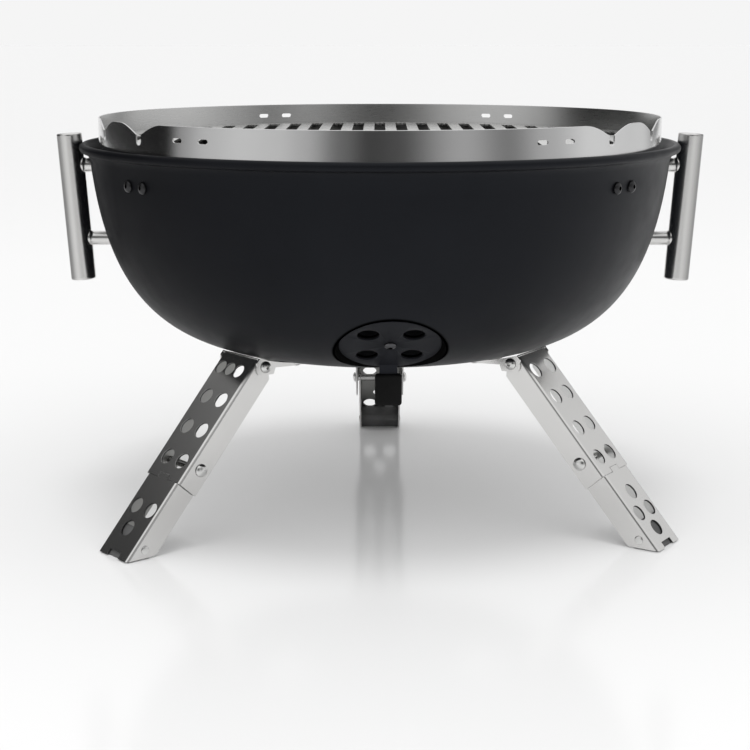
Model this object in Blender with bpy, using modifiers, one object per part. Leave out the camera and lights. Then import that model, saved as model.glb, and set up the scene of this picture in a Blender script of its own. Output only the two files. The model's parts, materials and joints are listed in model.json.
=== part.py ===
"""Portable fire pit with a grill grate, a wind ring, folding channel legs and a swivelling air damper.

Metres, +Z up. The damper faces -Y. Everything is modelled around the bowl's axis, and the last step
moves it all along Y, so that the origin is on the floor under the middle of the overall footprint.
Azimuths run from the -Y direction, positive towards +X.
"""

import math

import bmesh
import bpy
from mathutils import Matrix, Vector

GAP = 0.0003
FOOTPRINT_SHIFT = -0.0119

# Bowl: the outer wall is a fourth-power superellipse turned about Z.
BOWL_SPAN = 0.2456
BOWL_RISE = 0.330
BOWL_BOTTOM = 0.1337
BOWL_SHEET = 0.0015
WALL_TOP = 0.297
LIP_RADIUS = 0.250
LIP_BEAD = 0.0036
LIP_HEIGHT = 0.3062
TURN_STEPS = 48

# Wind ring, standing inside the lip.
RING_RADIUS = 0.2338
RING_SHEET = 0.0012
RING_BOTTOM = 0.3005
RING_TOP = 0.331
RING_TURN = -1.6
RING_NOTCHES = (-67.1, -49.5, 49.5, 67.1)
NOTCH_REACH = 0.0318
NOTCH_DEPTH = 0.0082
NOTCH_SLOT = 0.0035
NOTCH_SLOT_END = 0.0162
RING_SLOTS = (-37.9, -31.7, 31.7, 37.9, -155.4, -149.6, 149.6, 155.4)
RING_SLOT_HEIGHT = 0.3205
RING_SLOT = (0.0095, 0.0035)

# Grill grate and charcoal grate.
GRATE_RADIUS = 0.230
GRATE_BORDER = 0.015
GRATE_TOP = 0.3135
GRATE_SHEET = 0.002
GRATE_PITCH = 0.020
GRATE_SLOT = 0.010
COAL_RADIUS = 0.2135
COAL_TOP = 0.2055
COAL_PITCH = 0.026
COAL_SLOT = 0.014
CROSS_BAR = 0.012

# Brackets inside the bowl that carry the ring and the grill grate.
BRACKET_AZIMUTHS = (-50.0, 50.0, 130.0, -130.0)
BRACKET_WIDTH = 0.036
BRACKET_SHEET = 0.002
BRACKET_FACE = 0.2350
BOLT_SPREAD = 0.010
BOLT_HEIGHT = 0.284

# Handles.
BAR_RADIUS = 0.0105
BAR_LENGTH = 0.124
BAR_MIDDLE = (0.2582, 0.2537)
BAR_TILT = math.radians(3.7)
POST_RADIUS = 0.006
POST_HEIGHTS = (0.289, 0.227)

# Air damper: a disc on a flat pressed recess low in the front wall.
DAMPER_AZIMUTH = 2.6
DAMPER_CENTRE = (0.1747, 0.1686)
DAMPER_SLOPE = math.radians(53.5)
RECESS_RADIUS = 0.042
DISC_RADIUS = 0.039
DISC_SHEET = 0.0015
VENT_RADIUS = 0.0085
VENT_CIRCLE = 0.0242
LEVER_WIDTH = 0.014
GRIP_SIZE = (0.021, 0.008, 0.025)
GRIP_BOTTOM = 0.1141

# Folding legs: two nested channels, a hip under the bowl and a knee between them.
LEG_AZIMUTHS = {"left": -49.3, "right": 57.1, "back": 180.0}
LEG_LEAN = math.radians(41.3)
FOOT_RADIUS = 0.2742
LEG_SHEET = 0.0015
CHANNEL_DEPTH = 0.0198
UPPER_WIDTH = 0.047
LOWER_WIDTH = 0.041
SPLIT = 0.0737
TAB_WIDTH = 0.012
TAB_LENGTH = 0.004
WEB_END = 0.1910
KNEE = (0.0928, -0.0110)
HIP = (0.1903, -0.009)
HIP_ROUND = 0.0052
FOOT_PIN = (0.0175, -0.0087)
WEB_HOLE = 0.0067
CLOSE_WEB_HOLE = 0.0058
UPPER_HOLES = {
    "left": ((-0.015, -0.003, 0.009), (-0.010, 0.010), (-0.010, 0.010), (-0.010, 0.010)),
    "right": ((-0.0125, 0.0125), (-0.010, 0.010), (-0.010, 0.010), (-0.010, 0.010)),
    "back": ((-0.0125, 0.0125), (-0.010, 0.010), (-0.010, 0.010), (-0.010, 0.010)),
}
UPPER_ROWS = {
    "left": (0.1775, 0.1500, 0.1210, 0.0920),
    "right": (0.1755, 0.1490, 0.1180, 0.0895),
    "back": (0.1755, 0.1490, 0.1180, 0.0895),
}
LOWER_HOLES = {
    "left": ((0.046, -0.010), (0.046, 0.010), (0.0265, -0.003)),
    "right": ((0.053, 0.0), (0.035, -0.010), (0.035, 0.010), (0.0185, 0.0)),
    "back": ((0.053, 0.0), (0.035, -0.010), (0.035, 0.010), (0.0185, 0.0)),
}
EAR_SHEET = 0.0015
BASE_PLATE = (0.085, 0.122)
BASE_SCREW = (0.102, 0.013)

# Fasteners: radius of the shank, radius and height of the head.
M5 = (0.0025, 0.00475, 0.0027)
RIVET = (0.003, 0.00525, 0.003)
PIN = (0.003, 0.0035, 0.0009)
NUT_RADIUS = 0.0046
NUT_HEIGHT = 0.0035
HOLE_PLAY = 0.0003


def clear_scene():
    for obj in list(bpy.data.objects):
        bpy.data.objects.remove(obj, do_unlink=True)


def new_collection(name):
    collection = bpy.data.collections.new(name)
    bpy.context.scene.collection.children.link(collection)
    return collection


def new_material(name, color, roughness, metallic):
    material = bpy.data.materials.new(name)
    material.use_nodes = True
    shader = material.node_tree.nodes["Principled BSDF"]
    shader.inputs["Base Color"].default_value = (*color, 1.0)
    shader.inputs["Roughness"].default_value = roughness
    shader.inputs["Metallic"].default_value = metallic
    return material


clear_scene()
PARTS = new_collection("fire_pit_with_grate")
CUTTERS = new_collection("cutters")
CUTTERS.hide_render = True
FINISHES = {
    "enamel": ((0.012, 0.013, 0.014), 0.45, 0.0),
    "steel": ((0.55, 0.55, 0.54), 0.35, 1.0),
    "grate_steel": ((0.60, 0.60, 0.58), 0.40, 1.0),
    "iron": ((0.05, 0.05, 0.05), 0.60, 0.6),
    "black_bolt": ((0.02, 0.02, 0.02), 0.35, 0.5),
    "rubber": ((0.008, 0.008, 0.008), 0.65, 0.0),
}


def finish(name, kind):
    color, roughness, metallic = FINISHES[kind]
    return new_material(name + "_material", color, roughness, metallic)


def link_mesh(name, mesh, frame, kind):
    """A mesh becomes a part, or with no finish a hidden cutter."""
    obj = bpy.data.objects.new(name, mesh)
    obj.matrix_world = frame
    if kind is None:
        CUTTERS.objects.link(obj)
        obj.display_type = "WIRE"
        obj.hide_render = True
    else:
        PARTS.objects.link(obj)
        mesh.materials.append(finish(name, kind))
    return obj


def from_bmesh(name, bm, frame, kind):
    mesh = bpy.data.meshes.new(name)
    bm.to_mesh(mesh)
    bm.free()
    return link_mesh(name, mesh, frame, kind)


def add_rod(bm, radius, start, end, steps=12, end_radius=None):
    """A closed cylinder or cone between two points, added to a bmesh."""
    start, end = Vector(start), Vector(end)
    run = end - start
    turn = run.to_track_quat("Z", "Y").to_matrix().to_4x4()
    place = Matrix.Translation((start + end) / 2) @ turn
    bmesh.ops.create_cone(
        bm,
        cap_ends=True,
        segments=steps,
        radius1=radius,
        radius2=radius if end_radius is None else end_radius,
        depth=run.length,
        matrix=place,
    )


def add_box(bm, low, high):
    low, high = Vector(low), Vector(high)
    size = Matrix.Diagonal((*(high - low), 1.0))
    bmesh.ops.create_cube(bm, size=1.0, matrix=Matrix.Translation((low + high) / 2) @ size)


def prism(name, outlines, half, frame, kind):
    """Flat closed outlines in the frame's XY plane, made thick by half on each side."""
    curve = bpy.data.curves.new(name, "CURVE")
    curve.dimensions = "2D"
    curve.fill_mode = "BOTH"
    curve.extrude = half
    for outline in outlines:
        spline = curve.splines.new("POLY")
        spline.points.add(len(outline) - 1)
        spline.use_cyclic_u = True
        for point, (x, y) in zip(spline.points, outline):
            point.co = (x, y, 0.0, 1.0)
    guide = bpy.data.objects.new(name + "_outline", curve)
    CUTTERS.objects.link(guide)
    bpy.context.view_layer.update()
    graph = bpy.context.evaluated_depsgraph_get()
    mesh = bpy.data.meshes.new_from_object(guide.evaluated_get(graph))
    bpy.data.objects.remove(guide, do_unlink=True)
    bm = bmesh.new()
    bm.from_mesh(mesh)
    bmesh.ops.remove_doubles(bm, verts=bm.verts, dist=1e-6)
    bm.to_mesh(mesh)
    bm.free()
    mesh.name = name
    return link_mesh(name, mesh, frame, kind)


def turned(name, profile, frame, kind, steps=TURN_STEPS, closed=False):
    """A profile of (radius, height) points turned about the frame's Z axis."""
    mesh = bpy.data.meshes.new(name)
    edges = [(i, i + 1) for i in range(len(profile) - 1)]
    if closed:
        edges.append((len(profile) - 1, 0))
    mesh.from_pydata([(r, 0.0, z) for r, z in profile], edges, [])
    obj = link_mesh(name, mesh, frame, kind)
    screw = obj.modifiers.new("turn", "SCREW")
    screw.axis = "Z"
    screw.steps = steps
    screw.render_steps = steps
    screw.use_merge_vertices = True
    screw.merge_threshold = 0.00005
    screw.use_smooth_shade = True
    return obj


def cut(obj, cutter, operation="DIFFERENCE"):
    boolean = obj.modifiers.new(cutter.name, "BOOLEAN")
    boolean.operation = operation
    boolean.object = cutter
    boolean.solver = "EXACT"


def arc(centre, radius, start, end, steps):
    """Points on a circle, angles in degrees."""
    points = []
    for i in range(steps + 1):
        angle = math.radians(start + (end - start) * i / steps)
        points.append((centre[0] + radius * math.cos(angle), centre[1] + radius * math.sin(angle)))
    return points


def facing(azimuth):
    """Turns local +X to the given azimuth."""
    return Matrix.Rotation(math.radians(azimuth - 90.0), 4, "Z")


def bowl_point(angle, offset=0.0):
    """A point on the bowl's outer wall, moved in by offset along the wall's normal."""
    r = BOWL_SPAN * math.sqrt(math.sin(angle))
    drop = BOWL_RISE * math.sqrt(math.cos(angle))
    z = BOWL_BOTTOM + BOWL_RISE - drop
    across = r**3 / BOWL_SPAN**4
    down = drop**3 / BOWL_RISE**4
    length = math.hypot(across, down)
    return r - offset * across / length, z + offset * down / length


def bowl_height(radius):
    """Height of the outer wall above the floor at a radius."""
    return BOWL_BOTTOM + BOWL_RISE * (1 - (1 - (radius / BOWL_SPAN) ** 4) ** 0.25)


def bowl_radius(height):
    """Radius of the outer wall at a height."""
    drop = 1 - (height - BOWL_BOTTOM) / BOWL_RISE
    return BOWL_SPAN * (1 - drop**4) ** 0.25


TOP_ANGLE = math.acos((1 - (WALL_TOP - BOWL_BOTTOM) / BOWL_RISE) ** 2)


def wall_curve(offset, steps=13):
    """The wall from its top to the axis, at a distance inside the outer face."""
    points = []
    for i in range(steps):
        points.append(bowl_point(TOP_ANGLE * (1 - i / steps), offset))
    return points + [(0.0, BOWL_BOTTOM + offset)]


# The damper's own frame: X runs across, Y up the slope and Z out of the wall.
def damper_frame():
    out = Vector((math.cos(DAMPER_SLOPE), 0.0, -math.sin(DAMPER_SLOPE)))
    up = Vector((math.sin(DAMPER_SLOPE), 0.0, math.cos(DAMPER_SLOPE)))
    across = up.cross(out)
    frame = Matrix((across, up, out)).transposed().to_4x4()
    frame.translation = (DAMPER_CENTRE[0], 0.0, DAMPER_CENTRE[1])
    return facing(DAMPER_AZIMUTH) @ frame


DAMPER_FRAME = damper_frame()


def vent_centres():
    return arc((0.0, 0.0), VENT_CIRCLE, 45.0, 315.0, 3)


# The leg frame: X runs up along the web, Y out of the web and Z along the hinge axes.
def leg_frame(side, pivot):
    up = Vector((-math.sin(LEG_LEAN), 0.0, math.cos(LEG_LEAN)))
    out = Vector((math.cos(LEG_LEAN), 0.0, math.sin(LEG_LEAN)))
    frame = Matrix((up, out, Vector((0.0, 1.0, 0.0)))).transposed().to_4x4()
    frame.translation = Vector((FOOT_RADIUS, 0.0, 0.0)) + up * pivot[0] + out * pivot[1]
    return facing(LEG_AZIMUTHS[side]) @ frame


def floor_station(depth, clearance=0.0):
    """Distance along the web at which a line at this depth meets the floor."""
    return (clearance - depth * math.sin(LEG_LEAN)) / math.cos(LEG_LEAN)


def relative(points, pivot):
    return [(x - pivot[0], y - pivot[1]) for x, y in points]


def bolt(name, frame, kind, size, start, end, nut=True, rivet=False):
    """A button head at end, a shank along X, and a nut or a second head at start."""
    shank, head, height = size
    play = 0.00005
    profile = [(0.0, end + height)]
    for x, y in arc((0.0, 0.0), 1.0, 75.0, 0.0, 3):
        profile.append((head * x, end + height * y))
    profile.append((shank, end))
    if nut:
        profile += [(shank, start), (shank + play, start), (shank + play, start - play)]
        profile += [(0.0, start - play)]
    elif rivet:
        profile.append((shank, start))
        for x, y in arc((0.0, 0.0), 1.0, 0.0, 75.0, 3):
            profile.append((head * x, start - height * y))
        profile.append((0.0, start - height))
    else:
        profile += [(shank, start), (0.0, start)]
    along = Matrix.Rotation(math.radians(90.0), 4, "Y")
    obj = turned(name, profile, frame @ along, kind, steps=12)
    if nut:
        bm = bmesh.new()
        add_rod(bm, NUT_RADIUS, (0, 0, start - NUT_HEIGHT), (0, 0, start), steps=6)
        block = from_bmesh(name + "_nut", bm, frame @ along, None)
        cut(obj, block, "UNION")
    return obj


def bowl_holes():
    """Every place where a fastener passes through the wall, as one cutter."""
    bm = bmesh.new()
    radius = M5[0] + HOLE_PLAY
    for azimuth in BRACKET_AZIMUTHS:
        turn = facing(azimuth)
        for shift in (-BOLT_SPREAD, BOLT_SPREAD):
            start = turn @ Vector((0.228, shift, BOLT_HEIGHT))
            add_rod(bm, radius, start, turn @ Vector((0.252, shift, BOLT_HEIGHT)))
    for azimuth in (-90.0, 90.0):
        turn = facing(azimuth)
        for height in POST_HEIGHTS:
            wall = bowl_radius(height)
            start = turn @ Vector((wall - 0.012, 0, height))
            add_rod(bm, radius, start, turn @ Vector((wall + 0.012, 0, height)))
    for side in LEG_AZIMUTHS:
        frame = base_frame(side)
        for shift in (-BASE_SCREW[1], BASE_SCREW[1]):
            add_rod(bm, radius, frame @ Vector((0, shift, -0.008)), frame @ Vector((0, shift, 0.008)))
    return from_bmesh("wall_hole_cutter", bm, Matrix.Identity(4), None)


def make_bowl():
    centre = (LIP_RADIUS - LIP_BEAD, LIP_HEIGHT)
    inner = wall_curve(BOWL_SHEET)[::-1]
    outer = wall_curve(0.0)
    flare_in = [(0.2405, 0.3010), (0.2420, 0.3050), (0.2440, 0.3082)]
    flare_out = [(0.2442, 0.3020), (0.2425, 0.3000)]
    bead = arc(centre, LIP_BEAD, 120.0, -90.0, 6)
    profile = inner + flare_in + bead + flare_out + outer
    bowl = turned("bowl", profile, Matrix.Identity(4), "enamel")

    bm = bmesh.new()
    add_rod(bm, RECESS_RADIUS + BOWL_SHEET, (0, 0, -BOWL_SHEET), (0, 0, 0.020), steps=32)
    pan = from_bmesh("recess_pan", bm, DAMPER_FRAME, None)
    shrunk = [(r, z) for r, z in wall_curve(GAP)]
    lid = [(0.0, WALL_TOP)]
    core = turned("bowl_core", lid + shrunk, Matrix.Identity(4), None)
    cut(pan, core, "INTERSECT")
    cut(bowl, pan, "UNION")

    bm = bmesh.new()
    add_rod(bm, RECESS_RADIUS, (0, 0, 0), (0, 0, 0.025), steps=32)
    cut(bowl, from_bmesh("recess_cutter", bm, DAMPER_FRAME, None))

    bm = bmesh.new()
    for x, y in vent_centres():
        add_rod(bm, VENT_RADIUS - 0.0005, (x, y, -0.006), (x, y, 0.006), steps=16)
    add_rod(bm, M5[0] + HOLE_PLAY, (0, 0, -0.006), (0, 0, 0.006))
    cut(bowl, from_bmesh("vent_cutter", bm, DAMPER_FRAME, None))
    cut(bowl, bowl_holes())


def notch_outline():
    """A V with rounded shoulders and a narrow slot under it, open at the top."""
    floor = RING_TOP - NOTCH_DEPTH
    half = NOTCH_SLOT
    steps = 5
    flank = []
    for i in range(steps + 1):
        share = i / steps
        rise = NOTCH_DEPTH * math.sin(math.pi / 2 * share)
        flank.append((half + (NOTCH_REACH - half) * share, floor + rise))
    flank.append((NOTCH_REACH + 0.001, RING_TOP + 0.004))
    bottom = arc((0.0, RING_TOP - NOTCH_SLOT_END + half), half, 0.0, -180.0, 4)
    return bottom + [(-x, z) for x, z in flank] + flank[::-1]


def upright(azimuth, radius):
    """Frame of a flat outline that stands across a radius: X along the ring, Y up."""
    stand = Matrix.Rotation(math.radians(90.0), 4, "X")
    turn = Matrix.Rotation(math.radians(azimuth), 4, "Z")
    return turn @ Matrix.Translation((0.0, -radius, 0.0)) @ stand


def make_ring():
    inner = RING_RADIUS - RING_SHEET
    profile = [(inner, RING_BOTTOM), (inner, RING_TOP), (RING_RADIUS, RING_TOP), (RING_RADIUS, RING_BOTTOM)]
    ring = turned("wind_ring", profile, Matrix.Identity(4), "steel", steps=72, closed=True)
    outline = notch_outline()
    for number, azimuth in enumerate(RING_NOTCHES):
        frame = upright(azimuth + RING_TURN, RING_RADIUS)
        cut(ring, prism(f"notch_cutter_{number}", [outline], 0.012, frame, None))
    end = (RING_SLOT[0] - RING_SLOT[1]) / 2
    half = RING_SLOT[1] / 2
    outline = arc((end, RING_SLOT_HEIGHT), half, -90.0, 90.0, 4)
    outline += arc((-end, RING_SLOT_HEIGHT), half, 90.0, 270.0, 4)
    for number, azimuth in enumerate(RING_SLOTS):
        frame = upright(azimuth + RING_TURN, RING_RADIUS)
        cut(ring, prism(f"ring_slot_cutter_{number}", [outline], 0.006, frame, None))


def slot_outline(x, low, high, half):
    top = arc((x, high - half), half, 0.0, 180.0, 4)
    bottom = arc((x, low + half), half, 180.0, 360.0, 4)
    return top + bottom


def slotted_plate(name, radius, border, pitch, slot, top, sheet, kind, steps):
    """A round plate with front-to-back slots and one cross bar through its middle."""
    outlines = [arc((0.0, 0.0), radius, 0.0, 360.0 * (steps - 1) / steps, steps - 1)]
    reach = radius - border
    count = int(reach / pitch)
    for i in range(-count, count + 1):
        x = i * pitch
        edge = abs(x) + slot / 2
        if edge >= reach:
            continue
        end = math.sqrt(reach**2 - edge**2)
        if end < CROSS_BAR / 2 + slot:
            continue
        outlines.append(slot_outline(x, CROSS_BAR / 2, end, slot / 2))
        outlines.append(slot_outline(x, -end, -CROSS_BAR / 2, slot / 2))
    frame = Matrix.Translation((0.0, 0.0, top - sheet / 2))
    return prism(name, outlines, sheet / 2, frame, kind)


def make_grates():
    radius, border, pitch, slot = GRATE_RADIUS, GRATE_BORDER, GRATE_PITCH, GRATE_SLOT
    slotted_plate("grill_grate", radius, border, pitch, slot, GRATE_TOP, GRATE_SHEET, "grate_steel", 48)
    slotted_plate("charcoal_grate", COAL_RADIUS, 0.016, COAL_PITCH, COAL_SLOT, COAL_TOP, 0.003, "iron", 48)


def make_bracket(azimuth, name):
    """A folded strip: a foot bolted to the wall, a seat for the ring and a higher seat for the grate."""
    sheet = BRACKET_SHEET
    face = BRACKET_FACE
    seat = RING_BOTTOM - GAP
    shelf = GRATE_TOP - GRATE_SHEET - GAP
    riser = 0.2290
    tip = 0.2140
    outline = [
        (face, 0.272),
        (face, seat),
        (riser, seat),
        (riser, shelf),
        (tip, shelf),
        (tip, shelf - sheet),
        (riser - sheet, shelf - sheet),
        (riser - sheet, seat - sheet),
        (face - sheet, seat - sheet),
        (face - sheet, 0.272),
    ]
    stand = Matrix.Rotation(math.radians(90.0), 4, "X")
    frame = facing(azimuth) @ stand
    bracket = prism(name, [outline], BRACKET_WIDTH / 2, frame, "steel")
    bm = bmesh.new()
    for shift in (-BOLT_SPREAD, BOLT_SPREAD):
        add_rod(bm, M5[0] + HOLE_PLAY, (0.228, BOLT_HEIGHT, shift), (0.240, BOLT_HEIGHT, shift))
    cut(bracket, from_bmesh(name + "_cutter", bm, frame, None))


def make_brackets():
    for azimuth, place in zip(BRACKET_AZIMUTHS, ("front_left", "front_right", "back_right", "back_left")):
        make_bracket(azimuth, "grate_bracket_" + place)
        for number, shift in ((1, -BOLT_SPREAD), (2, BOLT_SPREAD)):
            frame = facing(azimuth) @ Matrix.Translation((0.0, shift, BOLT_HEIGHT))
            start = BRACKET_FACE - BRACKET_SHEET - GAP
            bolt(f"bracket_bolt_{place}_{number}", frame, "black_bolt", M5, start, 0.2404)


def bar_axis(height):
    """Radius of a handle bar's axis at a height."""
    return BAR_MIDDLE[0] + math.tan(BAR_TILT) * (height - BAR_MIDDLE[1])


def make_handles():
    wall = turned(
        "wall_cutter",
        [(0.0, WALL_TOP + 0.010), (bowl_radius(WALL_TOP) + 0.0015, WALL_TOP + 0.010)] + wall_curve(-GAP),
        Matrix.Identity(4),
        None,
    )
    for side, azimuth in (("left", -90.0), ("right", 90.0)):
        turn = facing(azimuth)
        middle = Vector((BAR_MIDDLE[0], 0.0, BAR_MIDDLE[1]))
        along = Vector((math.sin(BAR_TILT), 0.0, math.cos(BAR_TILT)))
        chamfer = 0.0008
        bar = turned(
            f"handle_bar_{side}",
            [
                (0.0, BAR_LENGTH / 2),
                (BAR_RADIUS - chamfer, BAR_LENGTH / 2),
                (BAR_RADIUS, BAR_LENGTH / 2 - chamfer),
                (BAR_RADIUS, chamfer - BAR_LENGTH / 2),
                (BAR_RADIUS - chamfer, -BAR_LENGTH / 2),
                (0.0, -BAR_LENGTH / 2),
            ],
            turn @ Matrix.Translation(middle) @ Matrix.Rotation(BAR_TILT, 4, "Y"),
            "steel",
            steps=24,
        )
        bm = bmesh.new()
        reach = along * BAR_LENGTH
        add_rod(bm, BAR_RADIUS + GAP, middle - reach, middle + reach, steps=24)
        saddle = from_bmesh(bar.name + "_saddle", bm, turn, None)
        for place, height in zip(("upper", "lower"), POST_HEIGHTS):
            start = bowl_radius(height) - 0.010
            bm = bmesh.new()
            add_rod(bm, POST_RADIUS, (start, 0, height), (bar_axis(height), 0, height), steps=16)
            post = from_bmesh(f"handle_post_{side}_{place}", bm, turn, "steel")
            bm = bmesh.new()
            end = bowl_radius(height) + 0.009
            add_rod(bm, M5[0] + HOLE_PLAY, (start - 0.01, 0, height), (end, 0, height))
            socket = from_bmesh(post.name + "_socket", bm, turn, None)
            cut(post, saddle)
            cut(post, wall)
            cut(post, socket)
            make_post_screw(side, place, turn, height)


def make_post_screw(side, place, turn, height):
    """A button screw from inside the bowl into the end of a post."""
    lift = POST_RADIUS
    inner = min(bowl_radius(height - lift), bowl_radius(height)) - BOWL_SHEET - 0.0016
    frame = turn @ Matrix.Translation((0.0, 0.0, height)) @ Matrix.Rotation(math.pi, 4, "Z")
    end = bowl_radius(height) + 0.007
    bolt(f"handle_screw_{side}_{place}", frame, "steel", M5, -end, -inner, nut=False)


def make_damper():
    sheet = DISC_SHEET
    lift = GAP
    disc_bm = bmesh.new()
    add_rod(disc_bm, DISC_RADIUS, (0, 0, lift), (0, 0, lift + sheet), steps=40)
    damper = from_bmesh("vent_damper", disc_bm, DAMPER_FRAME, "enamel")
    bm = bmesh.new()
    for x, y in vent_centres():
        add_rod(bm, VENT_RADIUS, (x, y, -0.004), (x, y, 0.006), steps=16)
    add_rod(bm, M5[0] + HOLE_PLAY, (0, 0, -0.004), (0, 0, 0.006))
    holes = from_bmesh("damper_hole_cutter", bm, DAMPER_FRAME, None)

    # The lever leaves the disc's lower edge and hangs straight down.
    edge = DAMPER_FRAME @ Vector((0.0, -(DISC_RADIUS - 0.003), lift + sheet / 2))
    turn = facing(DAMPER_AZIMUTH)
    local = turn.inverted() @ edge
    frame = turn @ Matrix.Translation(local)
    drop = local.z - GRIP_BOTTOM
    half = LEVER_WIDTH / 2
    lever_bm = bmesh.new()
    add_box(lever_bm, (-0.0008, -half, -(drop - 0.004)), (0.0012, half, 0.0006))
    lever = from_bmesh("damper_lever", lever_bm, frame, None)
    cut(damper, lever, "UNION")
    cut(damper, holes)

    width, depth, height = GRIP_SIZE
    low = -drop
    grip_bm = bmesh.new()
    add_box(grip_bm, (-depth / 2, -width / 2, low), (depth / 2, width / 2, low + height))
    grip = from_bmesh("damper_grip", grip_bm, frame, "rubber")
    bevel = grip.modifiers.new("round", "BEVEL")
    bevel.width = 0.0022
    bevel.segments = 2
    pocket_bm = bmesh.new()
    add_box(
        pocket_bm,
        (-0.0008 - GAP, -half - GAP, -(drop - 0.004) - GAP),
        (0.0012 + GAP, half + GAP, low + height + 0.01),
    )
    cut(grip, from_bmesh("grip_pocket_cutter", pocket_bm, frame, None))

    frame = DAMPER_FRAME @ Matrix.Rotation(math.radians(-90.0), 4, "Y")
    bolt("damper_pivot_bolt", frame, "black_bolt", M5, -BOWL_SHEET - GAP, lift + sheet + GAP)


def upper_outline():
    outline = [(SPLIT, 0.001), (WEB_END, 0.001), (WEB_END, HIP[1] + HIP_ROUND)]
    outline += arc(HIP, HIP_ROUND, 80.0, -90.0, 8)
    outline += [(HIP[0] - 0.006, -CHANNEL_DEPTH - 0.001), (SPLIT, -CHANNEL_DEPTH - 0.001)]
    return outline


def hollow(name, width, frame, pivot):
    """The inside of a channel, as a cutter."""
    bm = bmesh.new()
    half = width / 2 - LEG_SHEET
    low = (-0.05 - pivot[0], -0.04 - pivot[1], -half)
    high = (0.25 - pivot[0], -LEG_SHEET - pivot[1], half)
    add_box(bm, low, high)
    return from_bmesh(name, bm, frame, None)


def channel(name, outline, width, frame, pivot):
    """A U of sheet cut to a side outline. Its web is the face at Y = 0."""
    trimmed = [(x, max(min(y, 0.0), -CHANNEL_DEPTH)) for x, y in outline]
    piece = prism(name, [relative(trimmed, pivot)], width / 2, frame, "steel")
    cut(piece, hollow(name + "_hollow", width, frame, pivot))
    return piece


def add_web_hole(bm, pivot, station, shift, radius=WEB_HOLE):
    x = station - pivot[0]
    add_rod(bm, radius, (x, -0.004 - pivot[1], shift), (x, 0.004 - pivot[1], shift), steps=16)


def add_cross_hole(bm, radius, x, y, width):
    add_rod(bm, radius + HOLE_PLAY, (x, y, -width), (x, y, width), steps=12)


def make_upper_leg(side):
    pivot = HIP
    frame = leg_frame(side, pivot)
    leg = channel("upper_leg_" + side, upper_outline(), UPPER_WIDTH, frame, pivot)
    bm = bmesh.new()
    for station, shifts in zip(UPPER_ROWS[side], UPPER_HOLES[side]):
        radius = CLOSE_WEB_HOLE if len(shifts) > 2 else WEB_HOLE
        for shift in shifts:
            add_web_hole(bm, pivot, station, shift, radius)
    add_cross_hole(bm, M5[0], 0.0, 0.0, UPPER_WIDTH)
    add_cross_hole(bm, RIVET[0], KNEE[0] - pivot[0], KNEE[1] - pivot[1], UPPER_WIDTH)
    half = TAB_WIDTH / 2 + GAP
    low = SPLIT - pivot[0]
    add_box(bm, (low - 0.004, -0.004 - pivot[1], -half), (low + TAB_LENGTH + GAP, 0.004 - pivot[1], half))
    cut(leg, from_bmesh(leg.name + "_cutter", bm, frame, None))


def lower_outline():
    skin = -LEG_SHEET - 0.0007
    end = arc(KNEE, CHANNEL_DEPTH + KNEE[1], 90.0, -90.0, 8)
    outline = [(floor_station(0.0, 0.0008), 0.0), (SPLIT + TAB_LENGTH, 0.0), (SPLIT + TAB_LENGTH, skin)]
    outline += end
    outline.append((floor_station(-CHANNEL_DEPTH, 0.0008), -CHANNEL_DEPTH))
    return outline


def make_lower_leg(side):
    pivot = KNEE
    frame = leg_frame(side, pivot)
    leg = channel("lower_leg_" + side, lower_outline(), LOWER_WIDTH, frame, pivot)
    bm = bmesh.new()
    for station, shift in LOWER_HOLES[side]:
        add_web_hole(bm, pivot, station, shift)
    add_cross_hole(bm, RIVET[0], 0.0, 0.0, LOWER_WIDTH)
    add_cross_hole(bm, PIN[0], FOOT_PIN[0] - pivot[0], FOOT_PIN[1] - pivot[1], LOWER_WIDTH)
    half = TAB_WIDTH / 2
    low = SPLIT - GAP - pivot[0]
    for sign in (-1, 1):
        near, far = sorted((sign * half, sign * 0.025))
        add_box(bm, (low, -LEG_SHEET - 0.0007 - pivot[1], near), (low + 0.0095, 0.004 - pivot[1], far))
    notch = 0.008
    under = -LEG_SHEET - 0.0004 - pivot[1]
    add_box(bm, (-0.010 - pivot[0], under, -notch), (0.0065 - pivot[0], 0.004 - pivot[1], notch))
    cut(leg, from_bmesh(leg.name + "_cutter", bm, frame, None))


def make_foot(side):
    frame = leg_frame(side, FOOT_PIN)
    near, far = -LEG_SHEET - GAP, -0.0170
    outline = [
        (floor_station(near), near),
        (0.030, near),
        (0.030, far + 0.004),
        (0.027, far),
        (floor_station(far), far),
    ]
    half = LOWER_WIDTH / 2 - LEG_SHEET - GAP
    pad = prism("foot_pad_" + side, [relative(outline, FOOT_PIN)], half, frame, "rubber")
    bm = bmesh.new()
    add_cross_hole(bm, PIN[0], 0.0, 0.0, LOWER_WIDTH)
    cut(pad, from_bmesh(pad.name + "_cutter", bm, frame, None))
    cross = Matrix.Rotation(math.radians(-90.0), 4, "Y")
    reach = LOWER_WIDTH / 2 + 0.0002
    bolt("foot_pin_" + side, frame @ cross, "steel", PIN, -reach, reach, nut=False, rivet=True)


def base_frame(side):
    """Frame of the bracket's base plate: origin on its upper face, X outward, Z into the bowl."""
    radius = BASE_SCREW[0]
    step = 0.001
    slope = math.atan2(bowl_height(radius + step) - bowl_height(radius - step), 2 * step)
    place = Matrix.Translation((radius, 0.0, bowl_height(radius) - 0.0004))
    return facing(LEG_AZIMUTHS[side]) @ place @ Matrix.Rotation(-slope, 4, "Y")


def web_point(station, depth):
    """Radius and height of a point on or under an open leg's web."""
    radius = FOOT_RADIUS - station * math.sin(LEG_LEAN) + depth * math.cos(LEG_LEAN)
    return radius, station * math.cos(LEG_LEAN) + depth * math.sin(LEG_LEAN)


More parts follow.
